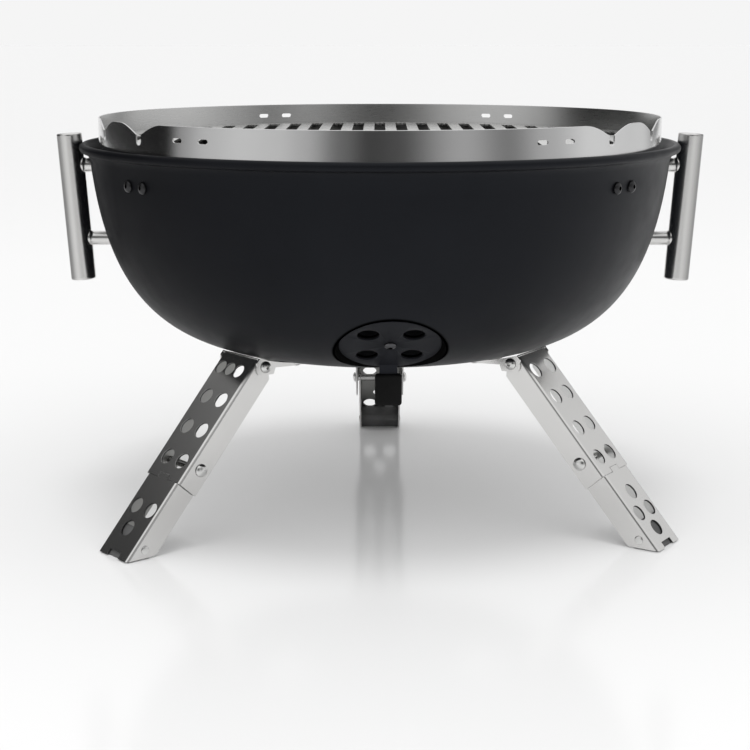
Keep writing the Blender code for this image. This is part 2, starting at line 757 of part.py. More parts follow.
def bowl_meeting(depth):
    """Where a line along the web, this far under it, comes up against the bowl."""
    station = WEB_END
    radius, height = web_point(station, depth)
    while height < bowl_height(radius) - 0.0006:
        station += 0.0001
        radius, height = web_point(station, depth)
    return radius, bowl_height(radius) - 0.0006


def stop_outline():
    """Side outline of the plate above an open leg, which carries the line of its web on to the bowl."""
    low = WEB_END + 0.0006
    ends = [web_point(low, 0.0), web_point(low, -EAR_SHEET)]
    return ends + [bowl_meeting(-EAR_SHEET), bowl_meeting(0.0)]


def ear_outline():
    """Side outline of a bracket ear in the plane of radius and height."""
    hip = leg_frame("right", HIP).translation
    radius = math.hypot(hip.x, hip.y)
    height = hip.z
    top = [bowl_meeting(0.0)]
    top += [(r, bowl_height(r) - 0.0006) for r in (0.140, 0.132, 0.124, 0.116)]
    base = [(0.112, bowl_height(0.112) - 0.0009), (0.112, bowl_height(0.112) - 0.0028)]
    lower = [(radius - 0.010, height - 0.0015), (radius - 0.008, height - 0.0065)]
    corner = arc((radius + 0.0035, height - 0.0015), 0.005, -90.0, 0.0, 4)
    side = radius + 0.0085
    outer = [(side, (FOOT_RADIUS - side) / math.tan(LEG_LEAN))]
    return top + base + lower + corner + outer


def make_leg_bracket(side):
    frame = base_frame(side)
    half = UPPER_WIDTH / 2 + GAP + EAR_SHEET
    bm = bmesh.new()
    low = BASE_PLATE[0] - BASE_SCREW[0]
    high = BASE_PLATE[1] - BASE_SCREW[0]
    add_box(bm, (low, -half + 0.0002, -EAR_SHEET), (high, half - 0.0002, 0.0))
    bracket = from_bmesh("leg_bracket_" + side, bm, frame, "steel")
    stand = Matrix.Rotation(math.radians(90.0), 4, "X")
    for sign, name in ((-1, "near"), (1, "far")):
        shift = Matrix.Translation((0.0, sign * (half - EAR_SHEET / 2), 0.0))
        ear_frame = facing(LEG_AZIMUTHS[side]) @ shift @ stand
        ear = prism(f"{bracket.name}_ear_{name}", [ear_outline()], EAR_SHEET / 2, ear_frame, None)
        cut(bracket, ear, "UNION")
    wide = half - EAR_SHEET / 2
    stop_frame = facing(LEG_AZIMUTHS[side]) @ stand
    cut(bracket, prism(bracket.name + "_stop", [stop_outline()], wide, stop_frame, None), "UNION")
    bm = bmesh.new()
    hip = leg_frame(side, HIP)
    add_rod(bm, M5[0] + HOLE_PLAY, hip @ Vector((0, 0, -0.03)), hip @ Vector((0, 0, 0.03)))
    for shift in (-BASE_SCREW[1], BASE_SCREW[1]):
        add_rod(bm, M5[0] + HOLE_PLAY, frame @ Vector((0, shift, -0.006)), frame @ Vector((0, shift, 0.004)))
    cut(bracket, from_bmesh(bracket.name + "_cutter", bm, Matrix.Identity(4), None))
    head_down = Matrix.Rotation(math.radians(90.0), 4, "Y")
    for number, shift in ((1, -BASE_SCREW[1]), (2, BASE_SCREW[1])):
        place = frame @ Matrix.Translation((0.0, shift, 0.0)) @ head_down
        start = -BOWL_SHEET - 0.0016
        bolt(f"leg_bracket_bolt_{side}_{number}", place, "steel", M5, start, EAR_SHEET + GAP)


def make_leg_fasteners(side):
    half = UPPER_WIDTH / 2
    head_side = {"left": -90.0, "right": 90.0, "back": 90.0}[side]
    cross = Matrix.Rotation(math.radians(head_side), 4, "Y")
    reach = half + GAP + EAR_SHEET + GAP
    bolt("hip_bolt_" + side, leg_frame(side, HIP) @ cross, "steel", M5, -reach, reach)
    reach = half + GAP
    knee = leg_frame(side, KNEE) @ cross
    bolt("knee_rivet_" + side, knee, "steel", RIVET, -reach, reach, nut=False, rivet=True)


def centre_footprint():
    shift = Matrix.Translation((0.0, FOOTPRINT_SHIFT, 0.0))
    for obj in [*PARTS.objects, *CUTTERS.objects]:
        obj.matrix_world = shift @ obj.matrix_world


def make_legs():
    for side in LEG_AZIMUTHS:
        make_leg_bracket(side)
        make_upper_leg(side)
        make_lower_leg(side)
        make_foot(side)
        make_leg_fasteners(side)


make_bowl()
make_ring()
make_grates()
make_brackets()
make_handles()
make_damper()
make_legs()
centre_footprint()
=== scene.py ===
"""The looks of a portable fire pit: bowl, notched ring, grates, air damper, handles and folding legs."""

import json
import math

import bmesh
import bpy
from mathutils import Matrix, Vector

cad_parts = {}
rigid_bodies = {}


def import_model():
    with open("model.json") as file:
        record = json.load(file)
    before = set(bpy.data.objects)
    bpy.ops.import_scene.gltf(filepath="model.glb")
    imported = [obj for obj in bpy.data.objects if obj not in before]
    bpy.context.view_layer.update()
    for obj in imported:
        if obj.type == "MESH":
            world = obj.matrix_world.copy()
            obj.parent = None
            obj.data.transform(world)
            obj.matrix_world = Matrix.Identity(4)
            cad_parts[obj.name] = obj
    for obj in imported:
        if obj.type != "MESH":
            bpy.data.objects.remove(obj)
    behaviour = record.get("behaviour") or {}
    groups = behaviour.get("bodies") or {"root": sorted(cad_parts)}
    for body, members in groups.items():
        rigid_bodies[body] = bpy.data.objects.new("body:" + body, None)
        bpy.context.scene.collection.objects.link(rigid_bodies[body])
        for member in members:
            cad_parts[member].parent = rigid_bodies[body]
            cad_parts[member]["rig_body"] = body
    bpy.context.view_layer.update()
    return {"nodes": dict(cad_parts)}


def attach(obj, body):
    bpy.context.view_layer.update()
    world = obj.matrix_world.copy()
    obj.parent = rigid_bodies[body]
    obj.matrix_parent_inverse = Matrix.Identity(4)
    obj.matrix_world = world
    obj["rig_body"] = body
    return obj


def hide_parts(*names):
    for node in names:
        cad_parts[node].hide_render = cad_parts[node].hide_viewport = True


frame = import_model()

# Clearance between pieces that meet.
GAP = 0.0003
# Everything is worked out round the bowl's axis, which stands this far from the middle of the footprint.
FOOTPRINT_SHIFT = -0.0119
SHIFT = Matrix.Translation((0.0, FOOTPRINT_SHIFT, 0.0))

# Bowl: the outer wall is a fourth-power superellipse turned about Z.
BOWL_SPAN = 0.2456
BOWL_RISE = 0.330
BOWL_BOTTOM = 0.1337
BOWL_SHEET = 0.0015
WALL_TOP = 0.297
LIP_RADIUS = 0.250
LIP_BEAD = 0.0036
LIP_HEIGHT = 0.3062

# Wind ring, standing inside the lip. Azimuths run from the front, positive towards +X.
RING_RADIUS = 0.2338
RING_SHEET = 0.0012
RING_BOTTOM = 0.3005
RING_TOP = 0.331
RING_TURN = -1.6
RING_NOTCHES = (-67.1, -49.5, 49.5, 67.1)
NOTCH_REACH = 0.0318
NOTCH_DEPTH = 0.0082
NOTCH_SLOT = 0.0035
NOTCH_SLOT_END = 0.0162
RING_SLOTS = (-37.9, -31.7, 31.7, 37.9, -155.4, -149.6, 149.6, 155.4)
RING_SLOT_HEIGHT = 0.3205
RING_SLOT = (0.0095, 0.0035)

# Grill grate and charcoal grate.
GRATE_RADIUS = 0.230
GRATE_BORDER = 0.015
GRATE_PITCH = 0.020
GRATE_SLOT = 0.010
GRATE_TOP = 0.3135
GRATE_SHEET = 0.002
COAL_RADIUS = 0.2135
COAL_BORDER = 0.016
COAL_PITCH = 0.026
COAL_SLOT = 0.014
COAL_TOP = 0.2055
COAL_SHEET = 0.003
CROSS_BAR = 0.012

# Brackets inside the bowl that carry the ring and the grill grate, by azimuth.
BRACKETS = {"front_left": -50.0, "front_right": 50.0, "back_right": 130.0, "back_left": -130.0}
BRACKET_WIDTH = 0.036
BRACKET_SHEET = 0.002
BRACKET_FACE = 0.2350
BRACKET_FOOT = 0.272
BRACKET_RISER = 0.2290
BRACKET_TIP = 0.2140
BOLT_SPREAD = 0.010
BOLT_HEIGHT = 0.284
BOLT_SEAT = 0.2404

# Handles. A post swells a little where it is welded to the bar.
BAR_RADIUS = 0.0105
BAR_LENGTH = 0.124
BAR_MIDDLE = (0.2582, 0.2537)
BAR_TILT = math.radians(3.7)
POST_RADIUS = 0.006
WELD_REACH = 0.0125
WELD_SWELL = 0.0009
POST_HEIGHTS = {"upper": 0.289, "lower": 0.227}

# Air damper: a disc on a flat recess, with a hanging lever. DAMPER_CENTRE is (radius, height).
DAMPER_AZIMUTH = 2.6
DAMPER_CENTRE = (0.1747, 0.1686)
DAMPER_SLOPE = math.radians(53.5)
RECESS_RADIUS = 0.042
DISC_RADIUS = 0.039
DISC_SHEET = 0.0015
VENT_RADIUS = 0.0085
VENT_CIRCLE = 0.0242
LEVER_WIDTH = 0.014
LEVER_BACK = -0.0008
LEVER_FRONT = 0.0012
LEVER_END = 0.004
POCKET_GAP = 0.0001
GRIP_SIZE = (0.021, 0.008, 0.025)
GRIP_BOTTOM = 0.1141

# Legs. A point (station, depth) is measured along the leg from the floor, and out of its web.
LEG_AZIMUTHS = {"left": -49.3, "right": 57.1, "back": 180.0}
LEG_LEAN = math.radians(41.3)
FOOT_RADIUS = 0.2742
LEG_SHEET = 0.0015
CHANNEL_DEPTH = 0.0198
UPPER_WIDTH = 0.047
LOWER_WIDTH = 0.041
SPLIT = 0.0737
TAB_WIDTH = 0.012
TAB_LENGTH = 0.004
WEB_END = 0.1910
KNEE = (0.0928, -0.0110)
HIP = (0.1903, -0.009)
HIP_ROUND = 0.0052
FOOT_PIN = (0.0175, -0.0087)
PAD_LENGTH = 0.030
PAD_DEPTH = 0.0170
WEB_HOLE = 0.0067
CLOSE_WEB_HOLE = 0.0058
UPPER_ROWS = {
    "left": (0.1775, 0.1500, 0.1210, 0.0920),
    "right": (0.1755, 0.1490, 0.1180, 0.0895),
    "back": (0.1755, 0.1490, 0.1180, 0.0895),
}
ROW_PAIR = (-0.010, 0.010)
UPPER_HOLES = {
    "left": ((-0.015, -0.003, 0.009), ROW_PAIR, ROW_PAIR, ROW_PAIR),
    "right": ((-0.0125, 0.0125), ROW_PAIR, ROW_PAIR, ROW_PAIR),
    "back": ((-0.0125, 0.0125), ROW_PAIR, ROW_PAIR, ROW_PAIR),
}
LOWER_DIAMOND = ((0.053, 0.0), (0.035, -0.010), (0.035, 0.010), (0.0185, 0.0))
LOWER_HOLES = {
    "left": ((0.046, -0.010), (0.046, 0.010), (0.0265, -0.003)),
    "right": LOWER_DIAMOND,
    "back": LOWER_DIAMOND,
}
EAR_SHEET = 0.0015
BASE_PLATE = (0.085, 0.122)
BASE_SCREW = (0.102, 0.013)

# Fasteners: shank radius, head radius and head height.
M5 = (0.0025, 0.00475, 0.0027)
RIVET = (0.003, 0.00525, 0.003)
PIN = (0.003, 0.0035, 0.0009)
# The room that a flat head or nut leaves on the curved inside of the bowl.
INSIDE_GAP = 0.0016
NUT_RADIUS = 0.0046
NUT_HEIGHT = 0.0035
NUT_CHAMFER = 0.0002
HEX_SOCKET = 0.00175


# ---------------------------------------------------------------- materials


def set_input(node, name, value):
    node.inputs[name].default_value = value


class Look:
    """A Principled material with small helpers for its node tree."""

    def __init__(self, name, finished=None):
        self.material = finished or bpy.data.materials.new(name)
        self.material.use_nodes = True
        self.tree = self.material.node_tree
        self.shader = self.tree.nodes["Principled BSDF"]
        self.place = self.add("ShaderNodeTexCoord").outputs["Object"]

    def add(self, kind, **values):
        node = self.tree.nodes.new(kind)
        for key, value in values.items():
            setattr(node, key, value)
        return node

    def link(self, source, target):
        self.tree.links.new(source, target)

    def stretched(self, scale):
        mapping = self.add("ShaderNodeMapping")
        mapping.inputs["Scale"].default_value = scale
        self.link(self.place, mapping.inputs["Vector"])
        return mapping.outputs["Vector"]

    def noise(self, scale, detail=3.0, vector=None, roughness=0.55):
        noise = self.add("ShaderNodeTexNoise")
        set_input(noise, "Scale", scale)
        set_input(noise, "Detail", detail)
        set_input(noise, "Roughness", roughness)
        self.link(self.place if vector is None else vector, noise.inputs["Vector"])
        return noise.outputs["Fac"]

    def ramp(self, source, stops):
        ramp = self.add("ShaderNodeValToRGB")
        while len(ramp.color_ramp.elements) < len(stops):
            ramp.color_ramp.elements.new(1.0)
        for element, (position, value) in zip(ramp.color_ramp.elements, stops):
            element.position = position
            color = value if isinstance(value, tuple) else (value, value, value)
            element.color = (*color, 1.0)
        self.link(source, ramp.inputs["Fac"])
        return ramp.outputs["Color"]

    def span(self, source, low, high, start=0.25, end=0.75, curve="LINEAR"):
        """Maps a source, by default a noise that runs from 0.25 to 0.75, onto a range."""
        node = self.add("ShaderNodeMapRange", interpolation_type=curve)
        set_input(node, "From Min", start)
        set_input(node, "From Max", end)
        set_input(node, "To Min", low)
        set_input(node, "To Max", high)
        self.link(source, node.inputs["Value"])
        return node.outputs["Result"]

    def bump(self, source, strength, distance, under=None):
        node = self.add("ShaderNodeBump")
        set_input(node, "Strength", strength)
        set_input(node, "Distance", distance)
        self.link(source, node.inputs["Height"])
        if under is not None:
            self.link(under, node.inputs["Normal"])
        return node.outputs["Normal"]

    def finish(self, color=None, roughness=None, normal=None, **constants):
        for name, value in constants.items():
            set_input(self.shader, name.replace("_", " "), value)
        for name, source in (("Base Color", color), ("Roughness", roughness), ("Normal", normal)):
            if source is not None:
                self.link(source, self.shader.inputs[name])
        return self.material


def split_place(look, owner=None):
    """X, Y and Z in the space of the piece itself, or of the object given as owner."""
    place = look.add("ShaderNodeTexCoord", object=owner)
    parts = look.add("ShaderNodeSeparateXYZ")
    look.link(place.outputs["Object"], parts.inputs[0])
    return parts.outputs


# Painted sheen: the enamel's specular level rises from left to right, between these places on X, painting
# in the dark left and bright right reflections of the lighting.
PAINTED_SHEEN = (0.008, 0.145)
PAINTED_SHEEN_REACH = (-0.205, -0.04)


def enamel_look(name, dark, light, smooth, rough):
    """Satin black enamel: orange peel, faint cloudy wear, a few dull specks and a painted sheen that rises
    from left to right.
    """
    look = Look(name)
    cloud = look.noise(9.0, 5.0)
    speck = look.noise(700.0, 2.0)
    tones = [(tone, tone * 1.03, tone * 1.25) for tone in (dark, light)]
    color = look.ramp(cloud, ((0.3, tones[0]), (0.7, tones[1])))
    roughness = look.span(look.noise(55.0, 4.0), smooth, rough)
    peel = look.bump(look.noise(420.0, 2.0), 0.25, 0.00006)
    normal = look.bump(speck, 0.15, 0.00003, peel)
    look.shader.inputs["Specular Tint"].default_value = (0.80, 0.87, 1.0, 1.0)
    # Painted sheen: the specular level follows X, duller on the left and brighter on the right.
    sheen = look.span(split_place(look)["X"], *PAINTED_SHEEN, *PAINTED_SHEEN_REACH)
    look.link(sheen, look.shader.inputs["Specular IOR Level"])
    return look.finish(color, roughness, normal, Metallic=0.0)


def metal_look(name, tone, smooth, rough, grain, wear=0.06, strength=0.12):
    """Brushed or rolled steel. grain squeezes the noise across the brushing direction."""
    look = Look(name)
    lines = look.noise(1.0, 4.0, look.stretched(grain), 0.65)
    cloud = look.noise(14.0, 4.0)
    shades = look.span(cloud, 1.0 - wear, 1.0 + wear * 0.3)
    tint = look.add("ShaderNodeMix", data_type="RGBA", blend_type="MULTIPLY")
    set_input(tint, "Factor", 1.0)
    tint.inputs["A"].default_value = (*tone, 1.0)
    look.link(shades, tint.inputs["B"])
    total = look.add("ShaderNodeMath", operation="MULTIPLY_ADD")
    set_input(total, 1, 0.7)
    look.link(lines, total.inputs[0])
    third = look.add("ShaderNodeMath", operation="MULTIPLY")
    set_input(third, 1, 0.3)
    look.link(cloud, third.inputs[0])
    look.link(third.outputs[0], total.inputs[2])
    roughness = look.span(total.outputs[0], smooth, rough)
    normal = look.bump(lines, strength, 0.00004)
    return look.finish(tint.outputs["Result"], roughness, normal, Metallic=1.0)


def plastic_look(name, shade, smooth, rough, grain, sheen=0.25):
    look = Look(name)
    color = look.ramp(look.noise(60.0, 3.0), ((0.3, shade * 0.8), (0.7, shade * 1.25)))
    roughness = look.span(look.noise(180.0, 3.0), smooth, rough)
    normal = look.bump(look.noise(grain, 2.0), 0.4, 0.00006)
    return look.finish(color, roughness, normal, Metallic=0.0, Specular_IOR_Level=sheen)


# Noise scales: coarse along the brushing direction and fine across it, or the same all round.
ALONG_Z = (1600.0, 1600.0, 14.0)
ALONG_X = (14.0, 1600.0, 1600.0)
ROUND_Z = (60.0, 60.0, 2200.0)
SPECKLED = (500.0, 500.0, 500.0)
COARSE = (90.0, 90.0, 90.0)
CUT_EDGE_GRAIN = (900.0, 900.0, 900.0)


def multiply(look, name, factor):
    """Multiplies what already feeds a socket of the shader."""
    mix = look.add("ShaderNodeMix", data_type="RGBA", blend_type="MULTIPLY")
    set_input(mix, "Factor", 1.0)
    look.link(look.shader.inputs[name].links[0].from_socket, mix.inputs["A"])
    look.link(factor, mix.inputs["B"])
    look.link(mix.outputs["Result"], look.shader.inputs[name])


def paint_bar_outer_shade(material):
    """Painted shade: the outer side of a handle bar is darkened, standing in for the dark reflections it
    shows there.
    """
    look = Look(material.name, material)
    place = split_place(look)
    multiply(look, "Base Color", look.span(place["X"], 1.0, 0.30, 0.001, BAR_RADIUS, "SMOOTHSTEP"))


def paint_recess_shadow(material, disc):
    """Painted shadow: a dark line on the bowl just outside the damper's recess, where the recess casts its
    shade.
    """
    look = Look(material.name, material)
    place = split_place(look, disc)
    flat = look.add("ShaderNodeCombineXYZ")
    look.link(place["X"], flat.inputs["X"])
    look.link(place["Y"], flat.inputs["Y"])
    length = look.add("ShaderNodeVectorMath", operation="LENGTH")
    look.link(flat.outputs[0], length.inputs[0])
    edges = (RECESS_RADIUS + 0.0012, RECESS_RADIUS + 0.0034)
    ring = look.span(length.outputs["Value"], 0.0, 1.0, *edges, "SMOOTHSTEP")
    above = look.add("ShaderNodeMath", operation="GREATER_THAN")
    set_input(above, 1, 0.02)
    look.link(place["Z"], above.inputs[0])
    keep = look.add("ShaderNodeMath", operation="MAXIMUM")
    look.link(ring, keep.inputs[0])
    look.link(above.outputs[0], keep.inputs[1])
    # The painted shadow darkens both the colour and the specular level.
    for name in ("Base Color", "Specular IOR Level"):
        multiply(look, name, keep.outputs[0])


LOOKS = {
    "bowl": enamel_look("bowl_enamel_look", 0.0045, 0.0062, 0.36, 0.44),
    "damper": enamel_look("damper_enamel_look", 0.008, 0.012, 0.42, 0.52),
    "ring": metal_look("ring_steel_look", (0.66, 0.66, 0.66), 0.11, 0.17, ROUND_Z, 0.05, 0.15),
    "grate": metal_look("grate_steel_look", (0.70, 0.70, 0.69), 0.20, 0.34, (25.0, 900.0, 25.0), 0.08),
    "strip": metal_look("bracket_steel_look", (0.50, 0.50, 0.49), 0.25, 0.40, ALONG_X, 0.08),
    "iron": metal_look("charcoal_iron_look", (0.060, 0.058, 0.056), 0.50, 0.75, COARSE, 0.3, 0.3),
    "bar": metal_look("brushed_bar_look", (0.70, 0.695, 0.685), 0.18, 0.28, ALONG_Z, 0.04, 0.08),
    "post": metal_look("brushed_post_look", (0.70, 0.695, 0.685), 0.18, 0.28, ALONG_Z, 0.04, 0.08),
    "leg": metal_look("leg_steel_look", (0.71, 0.705, 0.695), 0.15, 0.22, ALONG_X, 0.05, 0.12),
    "plated": metal_look("plated_look", (0.72, 0.72, 0.71), 0.12, 0.24, (300.0, 300.0, 300.0), 0.06, 0.05),
    "black_bolt": metal_look("black_oxide_look", (0.045, 0.045, 0.047), 0.28, 0.42, SPECKLED, 0.15, 0.08),
    "rubber": plastic_look("foot_rubber_look", 0.08, 0.60, 0.80, 900.0),
    "plastic": plastic_look("grip_plastic_look", 0.004, 0.50, 0.65, 1400.0, 0.12),
    # Painted shade for the legs: darker copies of the leg steel for the channel's inside, a lighter one
    # for the right leg, and a near-black one for the cut edges.
    "leg_inner": metal_look("leg_inner_shade_look", (0.38, 0.38, 0.37), 0.30, 0.42, ALONG_X, 0.12, 0.12),
    "leg_inner_right_shade": metal_look("leg_inner_right_shade_look", (0.74, 0.74, 0.73), 0.26, 0.38, ALONG_X, 0.12, 0.12),
    "cut_edge": metal_look("cut_edge_shade_look", (0.10, 0.10, 0.10), 0.35, 0.55, CUT_EDGE_GRAIN, 0.25, 0.15),
    # Painted shade: a darker, duller copy of the ring steel for the ring's inner side.
    "ring_inner": metal_look("ring_inner_shade_look", (0.56, 0.56, 0.555), 0.24, 0.34, ROUND_Z, 0.08, 0.15),
    # Painted shade: a near-black, almost unreflective look for the recess's wall and floor, so the gap
    # reads as shadow.
    "recess": plastic_look("recess_shade_look", 0.005, 0.80, 0.95, 300.0, 0.03),
    "pivot": metal_look("pivot_bolt_look", (0.09, 0.09, 0.095), 0.12, 0.20, SPECKLED, 0.15, 0.08),
}


# ---------------------------------------------------------------- mesh helpers


def link_mesh(name, mesh, place):
    obj = bpy.data.objects.new(name, mesh)
    bpy.context.scene.collection.objects.link(obj)
    obj.matrix_world = place
    return obj


def from_bmesh(name, bm, place):
    mesh = bpy.data.meshes.new(name)
    bm.to_mesh(mesh)
    bm.free()
    return link_mesh(name, mesh, place)


def add_rod(bm, radius, start, end, steps=32):
    start, end = Vector(start), Vector(end)
    run = end - start
    turn = run.to_track_quat("Z", "Y").to_matrix().to_4x4()
    bmesh.ops.create_cone(
        bm,
        cap_ends=True,
        segments=steps,
        radius1=radius,
        radius2=radius,
        depth=run.length,
        matrix=Matrix.Translation((start + end) / 2) @ turn,
    )


def add_box(bm, low, high):
    low, high = Vector(low), Vector(high)
    size = Matrix.Diagonal((*(high - low), 1.0))
    bmesh.ops.create_cube(bm, size=1.0, matrix=Matrix.Translation((low + high) / 2) @ size)


def add_lathe(bm, profile, steps, closed=False):
    """Turns (radius, height) points about Z. A point on the axis becomes one vertex."""
    rows = []
    for radius, height in profile:
        if radius < 1e-7:
            rows.append([bm.verts.new((0.0, 0.0, height))])
            continue
        row = []
        for i in range(steps):
            angle = 2 * math.pi * i / steps
            row.append(bm.verts.new((radius * math.cos(angle), radius * math.sin(angle), height)))
        rows.append(row)
    pairs = list(zip(rows, rows[1:]))
    if closed:
        pairs.append((rows[-1], rows[0]))
    for a, b in pairs:
        for i in range(steps):
            j = (i + 1) % steps
            corners = [a[i % len(a)], a[j % len(a)], b[j % len(b)], b[i % len(b)]]
            bm.faces.new(list(dict.fromkeys(corners)))


def turned(name, profile, place, steps=192, closed=False):
    bm = bmesh.new()
    add_lathe(bm, profile, steps, closed)
    bmesh.ops.recalc_face_normals(bm, faces=bm.faces)
    return from_bmesh(name, bm, place)


def prism(name, outlines, half, place):
    """Flat closed outlines in the XY plane of place, made thick by half on each side."""
    curve = bpy.data.curves.new(name, "CURVE")
    curve.dimensions = "2D"
    curve.fill_mode = "BOTH"
    curve.extrude = half
    for outline in outlines:
        spline = curve.splines.new("POLY")
        spline.points.add(len(outline) - 1)
        spline.use_cyclic_u = True
        for point, (x, y) in zip(spline.points, outline):
            point.co = (x, y, 0.0, 1.0)
    guide = bpy.data.objects.new(name, curve)
    bpy.context.scene.collection.objects.link(guide)
    bpy.context.view_layer.update()
    mesh = bpy.data.meshes.new_from_object(guide.evaluated_get(bpy.context.evaluated_depsgraph_get()))
    bpy.data.objects.remove(guide, do_unlink=True)
    bm = bmesh.new()
    bm.from_mesh(mesh)
    bmesh.ops.remove_doubles(bm, verts=bm.verts, dist=1e-6)
    bmesh.ops.recalc_face_normals(bm, faces=bm.faces)
    return from_bmesh(name, bm, place)


def bake(obj):
    """Replaces an object's mesh by its evaluated one."""
    bpy.context.view_layer.update()
    graph = bpy.context.evaluated_depsgraph_get()
    mesh = bpy.data.meshes.new_from_object(obj.evaluated_get(graph))
    obj.modifiers.clear()
    obj.data = mesh


def carve(obj, cutter, operation="DIFFERENCE"):
    boolean = obj.modifiers.new(cutter.name, "BOOLEAN")
    boolean.operation = operation
    boolean.object = cutter
    boolean.solver = "EXACT"
    bake(obj)
    bpy.data.objects.remove(cutter, do_unlink=True)


def dress(obj, node, material, bevel=0.0, segments=2, angle=38.0, flat=False):
    """Softens the edges, sets sharp creases and hangs the piece on its CAD body."""
    if bevel:
        modifier = obj.modifiers.new("soft_edges", "BEVEL")
        modifier.width = bevel
        modifier.segments = segments
        modifier.limit_method = "ANGLE"
        modifier.angle_limit = math.radians(angle)
        bake(obj)
    bm = bmesh.new()
    bm.from_mesh(obj.data)
    bmesh.ops.dissolve_degenerate(bm, dist=1e-7, edges=bm.edges)
    for face in bm.faces:
        face.smooth = True
    for edge in bm.edges:
        edge.smooth = len(edge.link_faces) == 2 and edge.calc_face_angle(0.0) < math.radians(angle)
    bm.to_mesh(obj.data)
    bm.free()
    if flat:
        modifier = obj.modifiers.new("flat_faces", "WEIGHTED_NORMAL")
        modifier.keep_sharp = True
        modifier.weight = 100
        bake(obj)
    obj.data.materials.clear()
    obj.data.materials.append(LOOKS[material])
    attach(obj, frame["nodes"][node]["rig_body"])
    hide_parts(node)
    return obj


def arc(centre, radius, start, end, steps):
    points = []
    for i in range(steps + 1):
        angle = math.radians(start + (end - start) * i / steps)
        points.append((centre[0] + radius * math.cos(angle), centre[1] + radius * math.sin(angle)))
    return points


def facing(azimuth):
    return Matrix.Rotation(math.radians(azimuth - 90.0), 4, "Z")


STAND = Matrix.Rotation(math.radians(90.0), 4, "X")


# ---------------------------------------------------------------- bowl


def bowl_point(angle, offset=0.0):
    r = BOWL_SPAN * math.sqrt(math.sin(angle))
    drop = BOWL_RISE * math.sqrt(math.cos(angle))
    z = BOWL_BOTTOM + BOWL_RISE - drop
    across = r**3 / BOWL_SPAN**4
    down = drop**3 / BOWL_RISE**4
    length = math.hypot(across, down)
    return r - offset * across / length, z + offset * down / length


def bowl_height(radius):
    return BOWL_BOTTOM + BOWL_RISE * (1 - (1 - (radius / BOWL_SPAN) ** 4) ** 0.25)


def bowl_radius(height):
    drop = 1 - (height - BOWL_BOTTOM) / BOWL_RISE
    return BOWL_SPAN * (1 - drop**4) ** 0.25


TOP_ANGLE = math.acos((1 - (WALL_TOP - BOWL_BOTTOM) / BOWL_RISE) ** 2)


def wall_curve(offset, steps=44):
    points = []
    for i in range(steps):
        share = (1 - i / steps) ** 1.35
        points.append(bowl_point(TOP_ANGLE * share, offset))
    return points + [(0.0, BOWL_BOTTOM + offset)]


def damper_frame():
    out = Vector((math.cos(DAMPER_SLOPE), 0.0, -math.sin(DAMPER_SLOPE)))
    up = Vector((math.sin(DAMPER_SLOPE), 0.0, math.cos(DAMPER_SLOPE)))
    turn = Matrix((up.cross(out), up, out)).transposed().to_4x4()
    turn.translation = (DAMPER_CENTRE[0], 0.0, DAMPER_CENTRE[1])
    return SHIFT @ facing(DAMPER_AZIMUTH) @ turn


DAMPER_FRAME = damper_frame()
VENTS = arc((0.0, 0.0), VENT_CIRCLE, 45.0, 315.0, 3)


def make_bowl():
    centre = (LIP_RADIUS - LIP_BEAD, LIP_HEIGHT)
    flare_in = [(0.2402, 0.2995), (0.2408, 0.3020), (0.2417, 0.3044), (0.2428, 0.3064), (0.2441, 0.3083)]
    flare_out = [(0.2450, 0.3024), (0.2442, 0.3017), (0.2433, 0.3006), (0.2427, 0.2993)]
    bead = arc(centre, LIP_BEAD, 122.0, -100.0, 18)
    profile = wall_curve(BOWL_SHEET)[::-1] + flare_in + bead + flare_out + wall_curve(0.0)
    bowl = turned("bowl_look", profile, SHIFT)
    bm = bmesh.new()
    add_rod(bm, RECESS_RADIUS + BOWL_SHEET, (0, 0, -BOWL_SHEET), (0, 0, 0.020), 96)
    pan = from_bmesh("recess_pan", bm, DAMPER_FRAME)
    carve(pan, turned("bowl_core", [(0.0, WALL_TOP)] + wall_curve(GAP), SHIFT), "INTERSECT")
    carve(bowl, pan, "UNION")
    bm = bmesh.new()
    add_rod(bm, RECESS_RADIUS, (0, 0, 0), (0, 0, 0.025), 96)
    carve(bowl, from_bmesh("recess_cutter", bm, DAMPER_FRAME))
    bm = bmesh.new()
    for x, y in VENTS:
        add_rod(bm, VENT_RADIUS - 0.0005, (x, y, -0.006), (x, y, 0.006))
    carve(bowl, from_bmesh("vent_cutter", bm, DAMPER_FRAME))
    dress(bowl, "bowl", "bowl", angle=32.0)
    # The recess wall and floor get the painted-shade look.
    bowl.data.materials.append(LOOKS["recess"])
    place = DAMPER_FRAME.inverted() @ bowl.matrix_world
    for face in bowl.data.polygons:
        middle = place @ face.center
        if middle.xy.length < RECESS_RADIUS + 0.0002 and -0.0003 < middle.z < 0.012:
            face.material_index = 1


# ---------------------------------------------------------------- ring, grates and their brackets


def notch_outline():
    low = RING_TOP - NOTCH_DEPTH
    half = NOTCH_SLOT
    flank = []
    for i in range(17):
        share = i / 16
        rise = NOTCH_DEPTH * math.sin(math.pi / 2 * share)
        flank.append((half + (NOTCH_REACH - half) * share, low + rise))
    flank.append((NOTCH_REACH + 0.001, RING_TOP + 0.004))
    bottom = arc((0.0, RING_TOP - NOTCH_SLOT_END + half), half, 0.0, -180.0, 12)
    return bottom + [(-x, z) for x, z in flank] + flank[::-1]


def upright(azimuth, radius):
    turn = Matrix.Rotation(math.radians(azimuth), 4, "Z")
    return SHIFT @ turn @ Matrix.Translation((0.0, -radius, 0.0)) @ STAND


